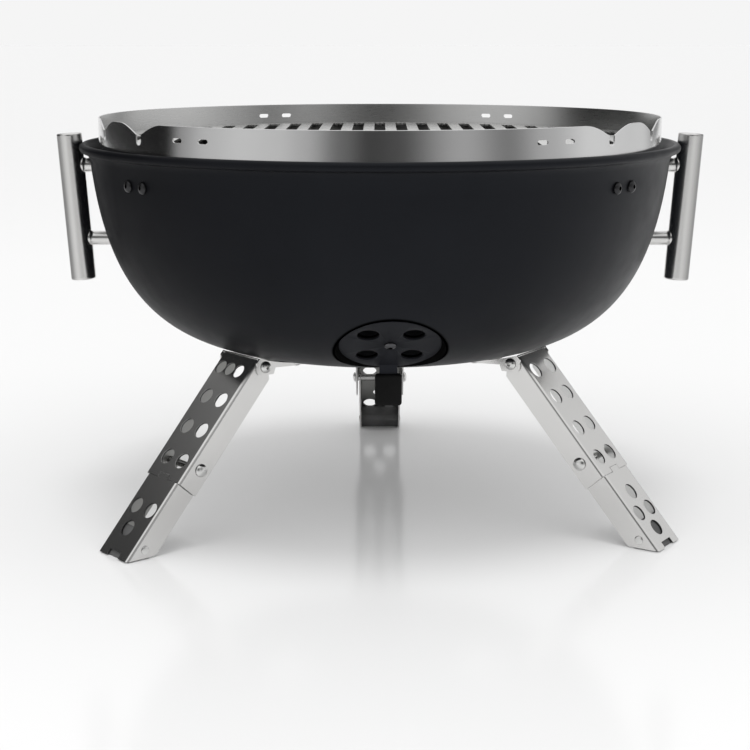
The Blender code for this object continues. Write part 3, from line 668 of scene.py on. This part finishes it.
def round_walls(obj, low, high, tilt, tilt_top, inner=1.0):
    """Sets the normals of walls round the Z axis, so holes leave no facets, with a slight upward roll, and
    gives the inner walls a darker copy of the steel as painted shade.
    """
    mesh = obj.data
    mesh.materials.append(LOOKS["ring_inner"])
    normals = [corner.vector.copy() for corner in mesh.corner_normals]
    for face in mesh.polygons:
        middle = Vector((face.center.x, face.center.y, 0.0)).normalized()
        side = face.normal.dot(middle)
        if abs(side) < 0.97:
            continue
        for loop in face.loop_indices:
            point = mesh.vertices[mesh.loops[loop].vertex_index].co
            share = max(0.0, min(1.0, (point.z - low) / (high - low)))
            roll = tilt + (tilt_top - tilt) * share
            out = Vector((point.x, point.y, 0.0)).normalized() * math.copysign(1.0, side)
            out.z = roll if side > 0.0 else roll * inner
            face.material_index = 0 if side > 0.0 else 1
            normals[loop] = out.normalized()
    mesh.normals_split_custom_set(normals)


def make_ring():
    inner = RING_RADIUS - RING_SHEET
    nose = arc((RING_RADIUS - RING_SHEET / 2, RING_TOP - RING_SHEET / 2), RING_SHEET / 2, 180.0, 0.0, 8)
    profile = [(inner, RING_BOTTOM)] + nose + [(RING_RADIUS, RING_BOTTOM)]
    ring = turned("wind_ring_look", profile, SHIFT, 288, True)
    outline = notch_outline()
    end = (RING_SLOT[0] - RING_SLOT[1]) / 2
    half = RING_SLOT[1] / 2
    slot = arc((end, RING_SLOT_HEIGHT), half, -90.0, 90.0, 12)
    slot += arc((-end, RING_SLOT_HEIGHT), half, 90.0, 270.0, 12)
    for azimuth in RING_NOTCHES:
        carve(ring, prism("notch", [outline], 0.012, upright(azimuth + RING_TURN, RING_RADIUS)))
    for azimuth in RING_SLOTS:
        carve(ring, prism("slot", [slot], 0.006, upright(azimuth + RING_TURN, RING_RADIUS)))
    dress(ring, "wind_ring", "ring", angle=50.0)
    round_walls(ring, RING_BOTTOM, RING_TOP, 0.10, 0.18, 0.9)


def slot_outline(x, low, high, half):
    return arc((x, high - half), half, 0.0, 180.0, 10) + arc((x, low + half), half, 180.0, 360.0, 10)


def slotted_plate(node, radius, slots, top, sheet, material):
    """A round plate with straight slots on both sides of a cross bar. slots is (border, pitch, width)."""
    border, pitch, slot = slots
    outlines = [arc((0.0, 0.0), radius, 0.0, 360.0 * 179 / 180, 179)]
    reach = radius - border
    count = int(reach / pitch)
    for i in range(-count, count + 1):
        x = i * pitch
        edge = abs(x) + slot / 2
        if edge >= reach:
            continue
        end = math.sqrt(reach**2 - edge**2)
        if end < CROSS_BAR / 2 + slot:
            continue
        outlines.append(slot_outline(x, CROSS_BAR / 2, end, slot / 2))
        outlines.append(slot_outline(x, -end, -CROSS_BAR / 2, slot / 2))
    place = SHIFT @ Matrix.Translation((0.0, 0.0, top - sheet / 2))
    plate = prism(node + "_look", outlines, sheet / 2, place)
    dress(plate, node, material, 0.0004, 2, 60.0, True)


def bend(points, radii, steps=6):
    """Rounds the corners of a closed outline, each by its own radius."""
    made = []
    for i, (corner, radius) in enumerate(zip(points, radii)):
        if not radius:
            made.append(corner)
            continue
        here = Vector(corner)
        back = (Vector(points[i - 1]) - here).normalized()
        ahead = (Vector(points[(i + 1) % len(points)]) - here).normalized()
        half = back.angle(ahead) / 2
        middle = here + (back + ahead).normalized() * radius / math.sin(half)
        start = here + back * radius / math.tan(half) - middle
        finish = here + ahead * radius / math.tan(half) - middle
        sweep = start.angle_signed(finish)
        for k in range(steps + 1):
            turn = Matrix.Rotation(-sweep * k / steps, 2)
            made.append(tuple(middle + turn @ start))
    return made


def make_grate_bracket(place, azimuth):
    sheet = BRACKET_SHEET
    face = BRACKET_FACE
    seat = RING_BOTTOM - GAP
    shelf = GRATE_TOP - GRATE_SHEET - GAP
    riser = BRACKET_RISER
    tip = BRACKET_TIP
    points = [
        (face, BRACKET_FOOT), (face, seat), (riser, seat), (riser, shelf), (tip, shelf),
        (tip, shelf - sheet), (riser - sheet, shelf - sheet), (riser - sheet, seat - sheet),
        (face - sheet, seat - sheet), (face - sheet, BRACKET_FOOT),
    ]
    outer = sheet * 1.3
    inner = sheet * 0.35
    radii = (0, outer, inner, outer, 0, 0, inner, outer, inner, 0)
    node = "grate_bracket_" + place
    frame_here = SHIFT @ facing(azimuth) @ STAND
    strip = prism(node + "_look", [bend(points, radii)], BRACKET_WIDTH / 2, frame_here)
    bm = bmesh.new()
    for shift in (-BOLT_SPREAD, BOLT_SPREAD):
        add_rod(bm, M5[0] + GAP, (0.228, BOLT_HEIGHT, shift), (0.240, BOLT_HEIGHT, shift))
    carve(strip, from_bmesh("bolt_holes", bm, frame_here))
    dress(strip, node, "strip", 0.0003, flat=True)


# ---------------------------------------------------------------- fasteners


def fastener(node, place, material, size, start, end, nut=True, rivet=False, socket=True):
    """A domed head at end, a shank along X, and a nut or second head at start."""
    shank, head, height = size
    dome = [(0.0, end + height)]
    dome += [(head * x, end + height * y) for x, y in arc((0.0, 0.0), 1.0, 80.0, 8.0, 12)]
    profile = dome + [(head * 0.985, end), (shank, end)]
    if nut:
        profile += [(shank, start - NUT_HEIGHT), (0.0, start - NUT_HEIGHT)]
    elif rivet:
        profile.append((shank, start))
        profile.append((head * 0.985, start))
        profile += [(head * x, start - height * y) for x, y in arc((0.0, 0.0), 1.0, 8.0, 80.0, 12)]
        profile.append((0.0, start - height))
    else:
        profile += [(shank, start), (0.0, start)]
    along = place @ Matrix.Rotation(math.radians(90.0), 4, "Y")
    obj = turned(node + "_look", profile, along, 40)
    if socket:
        bm = bmesh.new()
        add_rod(bm, HEX_SOCKET, (0, 0, end + height * 0.35), (0, 0, end + height + 0.002), 6)
        carve(obj, from_bmesh("hex_socket", bm, along))
    if nut:
        bm = bmesh.new()
        add_rod(bm, NUT_RADIUS, (0, 0, start - NUT_HEIGHT + NUT_CHAMFER), (0, 0, start), 6)
        nut_body = from_bmesh("nut", bm, along)
        shoulder = [(0.0, start - NUT_HEIGHT), (NUT_RADIUS * 0.86, start - NUT_HEIGHT + NUT_CHAMFER)]
        shoulder += [(NUT_RADIUS * 1.1, start - NUT_HEIGHT + 0.0012), (NUT_RADIUS * 1.1, start - 0.0010)]
        shoulder += [(NUT_RADIUS * 0.86, start), (0.0, start)]
        carve(nut_body, turned("nut_chamfer", shoulder, along, 40), "INTERSECT")
        carve(obj, nut_body, "UNION")
    dress(obj, node, material, angle=34.0)


# ---------------------------------------------------------------- handles


def bar_axis(height):
    return BAR_MIDDLE[0] + math.tan(BAR_TILT) * (height - BAR_MIDDLE[1])


def make_handle(side, azimuth):
    turn = SHIFT @ facing(azimuth)
    middle = Vector((BAR_MIDDLE[0], 0.0, BAR_MIDDLE[1]))
    along = Vector((math.sin(BAR_TILT), 0.0, math.cos(BAR_TILT)))
    top = BAR_LENGTH / 2
    chamfer = 0.0009
    half = [(0.0, top - 0.0004), (0.0014, top - 0.0003), (0.0017, top), (BAR_RADIUS - chamfer, top)]
    half += [(BAR_RADIUS - chamfer * 0.4, top - chamfer * 0.3), (BAR_RADIUS, top - chamfer)]
    half.append((BAR_RADIUS, top - chamfer - 0.0010))
    stations = [(BAR_RADIUS, top - BAR_LENGTH * i / 12) for i in range(1, 12)]
    profile = half + stations + [(r, -z) for r, z in half[::-1]]
    place = turn @ Matrix.Translation(middle) @ Matrix.Rotation(BAR_TILT, 4, "Y")
    dress(turned(f"handle_bar_{side}_look", profile, place, 64), "handle_bar_" + side, "bar")
    for level, height in POST_HEIGHTS.items():
        start = bowl_radius(height) - 0.010
        node = f"handle_post_{side}_{level}"
        end = bar_axis(height)
        weld = end - WELD_REACH
        lathe = [(0.0, start), (POST_RADIUS, start), (POST_RADIUS, weld)]
        lathe += [(POST_RADIUS + WELD_SWELL * k * k / 16, weld + 0.0007 * k) for k in range(1, 5)]
        lathe += [(POST_RADIUS + WELD_SWELL, end), (0.0, end)]
        reach = Matrix.Translation((0.0, 0.0, height)) @ Matrix.Rotation(math.radians(90.0), 4, "Y")
        post = turned(node + "_look", lathe, turn @ reach, 48)
        bm = bmesh.new()
        add_rod(bm, BAR_RADIUS + 0.0001, middle - along * BAR_LENGTH, middle + along * BAR_LENGTH, 64)
        carve(post, from_bmesh("saddle", bm, turn))
        above = WALL_TOP + 0.01
        wall = [(0.0, above), (bowl_radius(WALL_TOP) + BOWL_SHEET, above)] + wall_curve(-0.0001)
        carve(post, turned("wall", wall, SHIFT))
        dress(post, node, "post", angle=50.0)
        inner = min(bowl_radius(height - POST_RADIUS), bowl_radius(height)) - BOWL_SHEET - INSIDE_GAP
        back = turn @ Matrix.Translation((0.0, 0.0, height)) @ Matrix.Rotation(math.pi, 4, "Z")
        reach = -(bowl_radius(height) + 0.007)
        fastener(f"handle_screw_{side}_{level}", back, "plated", M5, reach, -inner, nut=False)


# ---------------------------------------------------------------- damper


def make_damper():
    sheet = DISC_SHEET
    edge = 0.0004
    rim = arc((DISC_RADIUS - edge, GAP + sheet - edge), edge, 90.0, 0.0, 4)
    profile = [(0.0, GAP + sheet)] + rim + [(DISC_RADIUS, GAP), (0.0, GAP)]
    disc = turned("vent_damper_look", profile, DAMPER_FRAME, 128)
    turn = SHIFT @ facing(DAMPER_AZIMUTH)
    local = turn.inverted() @ (DAMPER_FRAME @ Vector((0.0, -(DISC_RADIUS - 0.003), GAP + sheet / 2)))
    hang = turn @ Matrix.Translation(local)
    drop = local.z - GRIP_BOTTOM
    half = LEVER_WIDTH / 2
    bm = bmesh.new()
    add_box(bm, (LEVER_BACK, -half, LEVER_END - drop), (LEVER_FRONT, half, 0.0006))
    carve(disc, from_bmesh("lever", bm, hang), "UNION")
    bm = bmesh.new()
    for x, y in VENTS:
        add_rod(bm, VENT_RADIUS, (x, y, -0.004), (x, y, 0.006), 48)
    add_rod(bm, M5[0] + GAP, (0, 0, -0.004), (0, 0, 0.006))
    carve(disc, from_bmesh("damper_holes", bm, DAMPER_FRAME))
    dress(disc, "vent_damper", "damper", 0.0002)

    width, depth, height = GRIP_SIZE
    bm = bmesh.new()
    add_box(bm, (-depth / 2, -width / 2, -drop), (depth / 2, width / 2, -drop + height))
    grip = from_bmesh("damper_grip_look", bm, hang)
    modifier = grip.modifiers.new("round", "BEVEL")
    modifier.width = 0.0024
    modifier.segments = 5
    bake(grip)
    bm = bmesh.new()
    pocket = (LEVER_BACK - POCKET_GAP, -half - GAP, LEVER_END - drop)
    add_box(bm, pocket, (LEVER_FRONT + POCKET_GAP, half + GAP, height + 0.01 - drop))
    carve(grip, from_bmesh("grip_pocket", bm, hang))
    dress(grip, "damper_grip", "plastic")
    outward = DAMPER_FRAME @ Matrix.Rotation(math.radians(-90.0), 4, "Y")
    fastener("damper_pivot_bolt", outward, "pivot", M5, -BOWL_SHEET - GAP, GAP + sheet + GAP)


# ---------------------------------------------------------------- legs


# How far a cutter reaches past the web, and past both sides of a channel.
PAST_WEB = 0.004
PAST_SIDES = 0.04


def leg_frame(side, pivot):
    up = Vector((-math.sin(LEG_LEAN), 0.0, math.cos(LEG_LEAN)))
    out = Vector((math.cos(LEG_LEAN), 0.0, math.sin(LEG_LEAN)))
    turn = Matrix((up, out, Vector((0.0, 1.0, 0.0)))).transposed().to_4x4()
    turn.translation = Vector((FOOT_RADIUS, 0.0, 0.0)) + up * pivot[0] + out * pivot[1]
    return SHIFT @ facing(LEG_AZIMUTHS[side]) @ turn


def floor_station(depth, clearance=0.0):
    return (clearance - depth * math.sin(LEG_LEAN)) / math.cos(LEG_LEAN)


def channel(name, outline, width, place):
    """A folded U of sheet with round bends, cut to a side outline. The web's face is at Y = 0."""
    half = width / 2
    inner = half - LEG_SHEET
    points = [
        (-CHANNEL_DEPTH, -half), (0.0, -half), (0.0, half), (-CHANNEL_DEPTH, half),
        (-CHANNEL_DEPTH, inner), (-LEG_SHEET, inner), (-LEG_SHEET, -inner), (-CHANNEL_DEPTH, -inner),
    ]
    radii = (0, 0.0026, 0.0026, 0, 0, 0.0011, 0.0011, 0)
    # The section's plane is YZ: local X of the prism is the leg's Y, and local Y is its Z.
    section = Matrix(((0, 0, 1, 0.1), (1, 0, 0, 0), (0, 1, 0, 0), (0, 0, 0, 1)))
    piece = prism(name, [bend(points, radii, 8)], 0.12, place @ section)
    piece.data.transform(section)
    piece.matrix_world = place
    carve(piece, prism("side_cut", [outline], width, place), "INTERSECT")
    return piece


def upper_outline():
    outline = [(SPLIT, 0.001), (WEB_END, 0.001), (WEB_END, HIP[1] + HIP_ROUND)]
    outline += arc(HIP, HIP_ROUND, 80.0, -90.0, 24)
    outline += [(HIP[0] - 0.006, -CHANNEL_DEPTH - 0.001), (SPLIT, -CHANNEL_DEPTH - 0.001)]
    return outline


def lower_outline():
    skin = -LEG_SHEET - 0.0007
    tab = SPLIT + TAB_LENGTH
    outline = [(floor_station(0.001, 0.0008), 0.001), (tab, 0.001), (tab, skin)]
    outline += arc(KNEE, CHANNEL_DEPTH + KNEE[1], 90.0, -90.0, 24)
    outline += [(KNEE[0] - 0.002, -CHANNEL_DEPTH - 0.001)]
    outline.append((floor_station(-CHANNEL_DEPTH - 0.001, 0.0008), -CHANNEL_DEPTH - 0.001))
    return outline


def mark_sheet(leg, width, side):
    """Painted shade: inner faces take a darker, duller copy of the steel, less dark on the right leg, and
    the sheet's cut edges are painted dark.
    """
    leg.data.materials.append(LOOKS["leg_inner_right_shade" if side == "right" else "leg_inner"])
    leg.data.materials.append(LOOKS["cut_edge"])
    half = width / 2 - LEG_SHEET * 0.9
    for face in leg.data.polygons:
        inside = abs(face.center.z) < half
        if inside and face.center.y < -LEG_SHEET * 0.9:
            face.material_index = 1
        elif inside and abs(face.normal.y) < 0.3 and face.center.y < -LEG_SHEET * 0.1:
            face.material_index = 2
        elif not inside and face.normal.x < -0.95 and face.center.x > FOOT_PIN[0] * 2:
            face.material_index = 2


def make_upper_leg(side):
    place = leg_frame(side, (0.0, 0.0))
    node = "upper_leg_" + side
    leg = channel(node + "_look", upper_outline(), UPPER_WIDTH, place)
    bm = bmesh.new()
    for station, shifts in zip(UPPER_ROWS[side], UPPER_HOLES[side]):
        radius = CLOSE_WEB_HOLE if len(shifts) > 2 else WEB_HOLE
        for shift in shifts:
            add_rod(bm, radius, (station, -PAST_WEB, shift), (station, PAST_WEB, shift))
    for (x, y), radius in ((HIP, M5[0]), (KNEE, RIVET[0])):
        add_rod(bm, radius + GAP, (x, y, -PAST_SIDES), (x, y, PAST_SIDES))
    half = TAB_WIDTH / 2 + GAP
    add_box(bm, (SPLIT - TAB_LENGTH, -PAST_WEB, -half), (SPLIT + TAB_LENGTH + GAP, PAST_WEB, half))
    carve(leg, from_bmesh("upper_cuts", bm, place))
    dress(leg, node, "leg", 0.00025, flat=True)
    mark_sheet(leg, UPPER_WIDTH, side)


def make_lower_leg(side):
    place = leg_frame(side, (0.0, 0.0))
    node = "lower_leg_" + side
    leg = channel(node + "_look", lower_outline(), LOWER_WIDTH, place)
    bm = bmesh.new()
    for station, shift in LOWER_HOLES[side]:
        add_rod(bm, WEB_HOLE, (station, -PAST_WEB, shift), (station, PAST_WEB, shift))
    for (x, y), radius in ((FOOT_PIN, PIN[0]), (KNEE, RIVET[0])):
        add_rod(bm, radius + GAP, (x, y, -PAST_SIDES), (x, y, PAST_SIDES))
    carve(leg, from_bmesh("lower_holes", bm, place))
    half = TAB_WIDTH / 2
    low = SPLIT - GAP
    skin = -LEG_SHEET - 0.0007
    for sign in (-1, 1):
        near, far = sorted((sign * half, sign * 0.025))
        bm = bmesh.new()
        add_box(bm, (low, skin, near), (low + 0.0095, PAST_WEB, far))
        carve(leg, from_bmesh("shoulder", bm, place))
    bm = bmesh.new()
    add_box(bm, (-0.010, -LEG_SHEET - 0.0004, -0.008), (0.0065, PAST_WEB, 0.008))
    carve(leg, from_bmesh("foot_notch", bm, place))
    dress(leg, node, "leg", 0.00025, flat=True)
    mark_sheet(leg, LOWER_WIDTH, side)


def make_foot(side):
    place = leg_frame(side, (0.0, 0.0))
    near, far = -LEG_SHEET - GAP, -PAD_DEPTH
    outline = [
        (floor_station(near), near), (PAD_LENGTH, near), (PAD_LENGTH, far + 0.004),
        (PAD_LENGTH - 0.003, far), (floor_station(far), far),
    ]
    half = LOWER_WIDTH / 2 - LEG_SHEET - GAP
    rounded = bend(outline, (0.0005, 0.001, 0.001, 0.001, 0.0005))
    pad = prism(f"foot_pad_{side}_look", [rounded], half, place)
    bm = bmesh.new()
    add_rod(bm, PIN[0] + GAP, (*FOOT_PIN, -PAST_SIDES), (*FOOT_PIN, PAST_SIDES))
    carve(pad, from_bmesh("pin_hole", bm, place))
    dress(pad, "foot_pad_" + side, "rubber", 0.0004)


def base_frame(side):
    radius = BASE_SCREW[0]
    step = 0.001
    slope = math.atan2(bowl_height(radius + step) - bowl_height(radius - step), 2 * step)
    place = Matrix.Translation((radius, 0.0, bowl_height(radius) - 0.0004))
    return SHIFT @ facing(LEG_AZIMUTHS[side]) @ place @ Matrix.Rotation(-slope, 4, "Y")


def web_point(station, depth):
    radius = FOOT_RADIUS - station * math.sin(LEG_LEAN) + depth * math.cos(LEG_LEAN)
    return radius, station * math.cos(LEG_LEAN) + depth * math.sin(LEG_LEAN)


def bowl_meeting(depth):
    station = WEB_END
    radius, height = web_point(station, depth)
    while height < bowl_height(radius) - 0.0006:
        station += 0.0001
        radius, height = web_point(station, depth)
    return radius, bowl_height(radius) - 0.0006


def ear_outline():
    radius = FOOT_RADIUS - HIP[0] * math.sin(LEG_LEAN) + HIP[1] * math.cos(LEG_LEAN)
    height = HIP[0] * math.cos(LEG_LEAN) + HIP[1] * math.sin(LEG_LEAN)
    top = [bowl_meeting(0.0)]
    top += [(r, bowl_height(r) - 0.0006) for r in (0.140, 0.136, 0.132, 0.128, 0.124, 0.120, 0.116)]
    base = [(0.112, bowl_height(0.112) - 0.0009), (0.112, bowl_height(0.112) - 0.0028)]
    lower = [(radius - 0.010, height - 0.0015), (radius - 0.008, height - 0.0065)]
    corner = arc((radius + 0.0035, height - 0.0015), 0.005, -90.0, 0.0, 12)
    side = radius + 0.0085
    return top + base + lower + corner + [(side, (FOOT_RADIUS - side) / math.tan(LEG_LEAN))]


def make_leg_bracket(side):
    place = base_frame(side)
    node = "leg_bracket_" + side
    half = UPPER_WIDTH / 2 + GAP + EAR_SHEET
    bm = bmesh.new()
    low = BASE_PLATE[0] - BASE_SCREW[0]
    high = BASE_PLATE[1] - BASE_SCREW[0]
    add_box(bm, (low, -half + 0.0002, -EAR_SHEET), (high, half - 0.0002, 0.0))
    bracket = from_bmesh(node + "_look", bm, place)
    for sign in (-1, 1):
        shift = Matrix.Translation((0.0, sign * (half - EAR_SHEET / 2), 0.0))
        ear_place = SHIFT @ facing(LEG_AZIMUTHS[side]) @ shift @ STAND
        carve(bracket, prism("ear", [ear_outline()], EAR_SHEET / 2, ear_place), "UNION")
    low = WEB_END + 0.0006
    stop = [web_point(low, 0.0), web_point(low, -EAR_SHEET), bowl_meeting(-EAR_SHEET), bowl_meeting(0.0)]
    stop_place = SHIFT @ facing(LEG_AZIMUTHS[side]) @ STAND
    carve(bracket, prism("stop", [stop], half - EAR_SHEET / 2, stop_place), "UNION")
    bm = bmesh.new()
    hip = place.inverted() @ leg_frame(side, HIP)
    add_rod(bm, M5[0] + GAP, hip @ Vector((0, 0, -0.03)), hip @ Vector((0, 0, 0.03)))
    for shift in (-BASE_SCREW[1], BASE_SCREW[1]):
        add_rod(bm, M5[0] + GAP, (0, shift, -0.006), (0, shift, 0.004))
    carve(bracket, from_bmesh("bracket_holes", bm, place))
    dress(bracket, node, "leg", 0.0002, flat=True)
    down = Matrix.Rotation(math.radians(90.0), 4, "Y")
    for number, shift in ((1, -BASE_SCREW[1]), (2, BASE_SCREW[1])):
        spot = place @ Matrix.Translation((0.0, shift, 0.0)) @ down
        inside = -BOWL_SHEET - INSIDE_GAP
        fastener(f"leg_bracket_bolt_{side}_{number}", spot, "plated", M5, inside, EAR_SHEET + GAP)


def make_leg_fasteners(side):
    cross = Matrix.Rotation(math.radians(-90.0 if side == "left" else 90.0), 4, "Y")
    reach = UPPER_WIDTH / 2 + GAP + EAR_SHEET + GAP
    fastener("hip_bolt_" + side, leg_frame(side, HIP) @ cross, "plated", M5, -reach, reach)
    reach = UPPER_WIDTH / 2 + GAP
    rivet = {"nut": False, "rivet": True, "socket": False}
    fastener("knee_rivet_" + side, leg_frame(side, KNEE) @ cross, "plated", RIVET, -reach, reach, **rivet)
    cross = Matrix.Rotation(math.radians(-90.0), 4, "Y")
    reach = LOWER_WIDTH / 2 + 0.0002
    fastener("foot_pin_" + side, leg_frame(side, FOOT_PIN) @ cross, "plated", PIN, -reach, reach, **rivet)


make_bowl()
make_ring()
grill_slots = (GRATE_BORDER, GRATE_PITCH, GRATE_SLOT)
slotted_plate("grill_grate", GRATE_RADIUS, grill_slots, GRATE_TOP, GRATE_SHEET, "grate")
coal_slots = (COAL_BORDER, COAL_PITCH, COAL_SLOT)
slotted_plate("charcoal_grate", COAL_RADIUS, coal_slots, COAL_TOP, COAL_SHEET, "iron")
for place_name, place_azimuth in BRACKETS.items():
    make_grate_bracket(place_name, place_azimuth)
    for number, shift in ((1, -BOLT_SPREAD), (2, BOLT_SPREAD)):
        spot = SHIFT @ facing(place_azimuth) @ Matrix.Translation((0.0, shift, BOLT_HEIGHT))
        bolt_start = BRACKET_FACE - BRACKET_SHEET - GAP
        fastener(f"bracket_bolt_{place_name}_{number}", spot, "black_bolt", M5, bolt_start, BOLT_SEAT)
for handle_side, handle_azimuth in (("left", -90.0), ("right", 90.0)):
    make_handle(handle_side, handle_azimuth)
make_damper()
# Painted shadow round the damper's recess.
paint_recess_shadow(LOOKS["bowl"], bpy.data.objects["vent_damper_look"])
# Painted shade on the outer side of the handle bars.
paint_bar_outer_shade(LOOKS["bar"])
for leg_side in LEG_AZIMUTHS:
    make_leg_bracket(leg_side)
    make_upper_leg(leg_side)
    make_lower_leg(leg_side)
    make_foot(leg_side)
    make_leg_fasteners(leg_side)


# ---------------------------------------------------------------- stage, light and camera


# Between these distances the floor turns matt, in the tone of the backdrop, so no horizon shows.
FLOOR_FADE = (0.6, 5.0)
FLOOR_MATT = 0.748
FLOOR_RADIUS = 90.0


def make_floor():
    bm = bmesh.new()
    bmesh.ops.create_circle(bm, cap_ends=True, radius=FLOOR_RADIUS, segments=96)
    floor = from_bmesh("floor", bm, Matrix.Translation((0.0, 0.0, -0.0002)))
    look = Look("floor_look")
    tone = look.ramp(look.noise(0.8, 3.0), ((0.3, 0.845), (0.7, 0.855)))
    material = look.finish(tone, None, None, Specular_IOR_Level=0.20, Roughness=0.14)
    distance = look.add("ShaderNodeVectorMath", operation="LENGTH")
    look.link(look.place, distance.inputs[0])
    fade = look.span(distance.outputs["Value"], 0.0, 1.0, *FLOOR_FADE, "SMOOTHSTEP")
    matt = look.add("ShaderNodeBsdfDiffuse")
    set_input(matt, "Color", (FLOOR_MATT, FLOOR_MATT, FLOOR_MATT, 1.0))
    blend = look.add("ShaderNodeMixShader")
    look.link(fade, blend.inputs["Fac"])
    look.link(look.shader.outputs["BSDF"], blend.inputs[1])
    look.link(matt.outputs["BSDF"], blend.inputs[2])
    look.link(blend.outputs["Shader"], look.tree.nodes["Material Output"].inputs["Surface"])
    floor.data.materials.append(material)


# The studio round the object, seen only in reflections: brightness by azimuth from the front.
STUDIO = (
    (-180, 0.87), (-166, 0.87), (-157, 0.73), (-142, 0.05), (-92, 0.01), (-84, 0.42), (-72, 0.66),
    (-56, 0.78), (-40, 0.72), (-30, 0.58), (-15, 0.18), (-4, 0.06), (6, 0.09), (33, 0.50), (51, 0.26),
    (69, 0.56), (92, 0.86), (128, 0.80), (148, 0.25), (159, 0.73), (167, 0.87), (180, 0.87),
)
# Above this height of a reflected ray the studio turns into a white roof.
ROOF_FADE = (0.45, 0.80)
# Fill light on diffuse surfaces: level, then how it changes towards the back and upwards.
FILL = (1.09, -0.52, -0.16)
BACKDROP = 0.913


def make_world():
    world = bpy.data.worlds.new("studio")
    bpy.context.scene.world = world
    world.use_nodes = True
    tree = world.node_tree
    tree.nodes.clear()
    link = tree.links.new
    where = tree.nodes.new("ShaderNodeTexCoord").outputs["Generated"]
    turn = tree.nodes.new("ShaderNodeMapping")
    turn.inputs["Rotation"].default_value = (0.0, 0.0, math.radians(90.0))
    link(where, turn.inputs["Vector"])
    radial = tree.nodes.new("ShaderNodeTexGradient")
    radial.gradient_type = "RADIAL"
    link(turn.outputs["Vector"], radial.inputs["Vector"])
    ramp = tree.nodes.new("ShaderNodeValToRGB")
    ramp.color_ramp.interpolation = "EASE"
    while len(ramp.color_ramp.elements) < len(STUDIO):
        ramp.color_ramp.elements.new(1.0)
    for element, (azimuth, value) in zip(ramp.color_ramp.elements, STUDIO):
        element.position = azimuth / 360.0 + 0.5
        element.color = (value, value, value, 1.0)
    link(radial.outputs["Fac"], ramp.inputs["Fac"])
    split = tree.nodes.new("ShaderNodeSeparateXYZ")
    link(where, split.inputs["Vector"])
    lift = tree.nodes.new("ShaderNodeMapRange")
    lift.interpolation_type = "SMOOTHSTEP"
    set_input(lift, "From Min", ROOF_FADE[0])
    set_input(lift, "From Max", ROOF_FADE[1])
    link(split.outputs["Z"], lift.inputs["Value"])
    roof = tree.nodes.new("ShaderNodeMix")
    roof.data_type = "RGBA"
    roof.inputs["B"].default_value = (1.0, 1.0, 1.0, 1.0)
    link(lift.outputs["Result"], roof.inputs["Factor"])
    link(ramp.outputs["Color"], roof.inputs["A"])
    around = tree.nodes.new("ShaderNodeBackground")
    link(roof.outputs["Result"], around.inputs["Color"])
    aim = tree.nodes.new("ShaderNodeVectorMath")
    aim.operation = "DOT_PRODUCT"
    aim.inputs[1].default_value = (0.0, FILL[1], FILL[2])
    link(where, aim.inputs[0])
    level = tree.nodes.new("ShaderNodeMath")
    set_input(level, 1, FILL[0])
    link(aim.outputs["Value"], level.inputs[0])
    fill = tree.nodes.new("ShaderNodeBackground")
    link(level.outputs[0], fill.inputs["Color"])
    backdrop = tree.nodes.new("ShaderNodeBackground")
    set_input(backdrop, "Color", (BACKDROP, BACKDROP, BACKDROP, 1.0))
    path = tree.nodes.new("ShaderNodeLightPath")
    last = around.outputs[0]
    for ray, seen in (("Is Diffuse Ray", fill), ("Is Camera Ray", backdrop)):
        mix = tree.nodes.new("ShaderNodeMixShader")
        link(path.outputs[ray], mix.inputs["Fac"])
        link(last, mix.inputs[1])
        link(seen.outputs[0], mix.inputs[2])
        last = mix.outputs[0]
    out = tree.nodes.new("ShaderNodeOutputWorld")
    link(last, out.inputs["Surface"])


SUN_STRENGTH = 0.80
SUN_SPREAD = math.radians(20.0)
SUN_TILT = math.radians(7.5)


def make_sun():
    """A soft overhead light, kept out of reflections, for the round shadow under the bowl."""
    data = bpy.data.lights.new("overhead", "SUN")
    data.energy = SUN_STRENGTH
    data.angle = SUN_SPREAD
    data.use_shadow = True
    lamp = bpy.data.objects.new("overhead", data)
    bpy.context.scene.collection.objects.link(lamp)
    lamp.visible_glossy = False
    lamp.rotation_euler = (SUN_TILT, 0.0, 0.0)


# The camera, fitted to the ring, the lip, the grate and the feet together.
LENS = 76.894
CAMERA_PLACE = (0.0, -1.3757, 0.394)
CAMERA_TURN = (math.radians(78.1255), 0.0, math.radians(0.1724))


def make_camera():
    data = bpy.data.cameras.new("camera")
    data.sensor_width = 36.0
    data.lens = LENS
    camera = bpy.data.objects.new("camera", data)
    bpy.context.scene.collection.objects.link(camera)
    camera.location = CAMERA_PLACE
    camera.rotation_euler = CAMERA_TURN
    bpy.context.scene.camera = camera


make_floor()
make_world()
make_sun()
make_camera()
bpy.context.scene.view_settings.view_transform = "Standard"
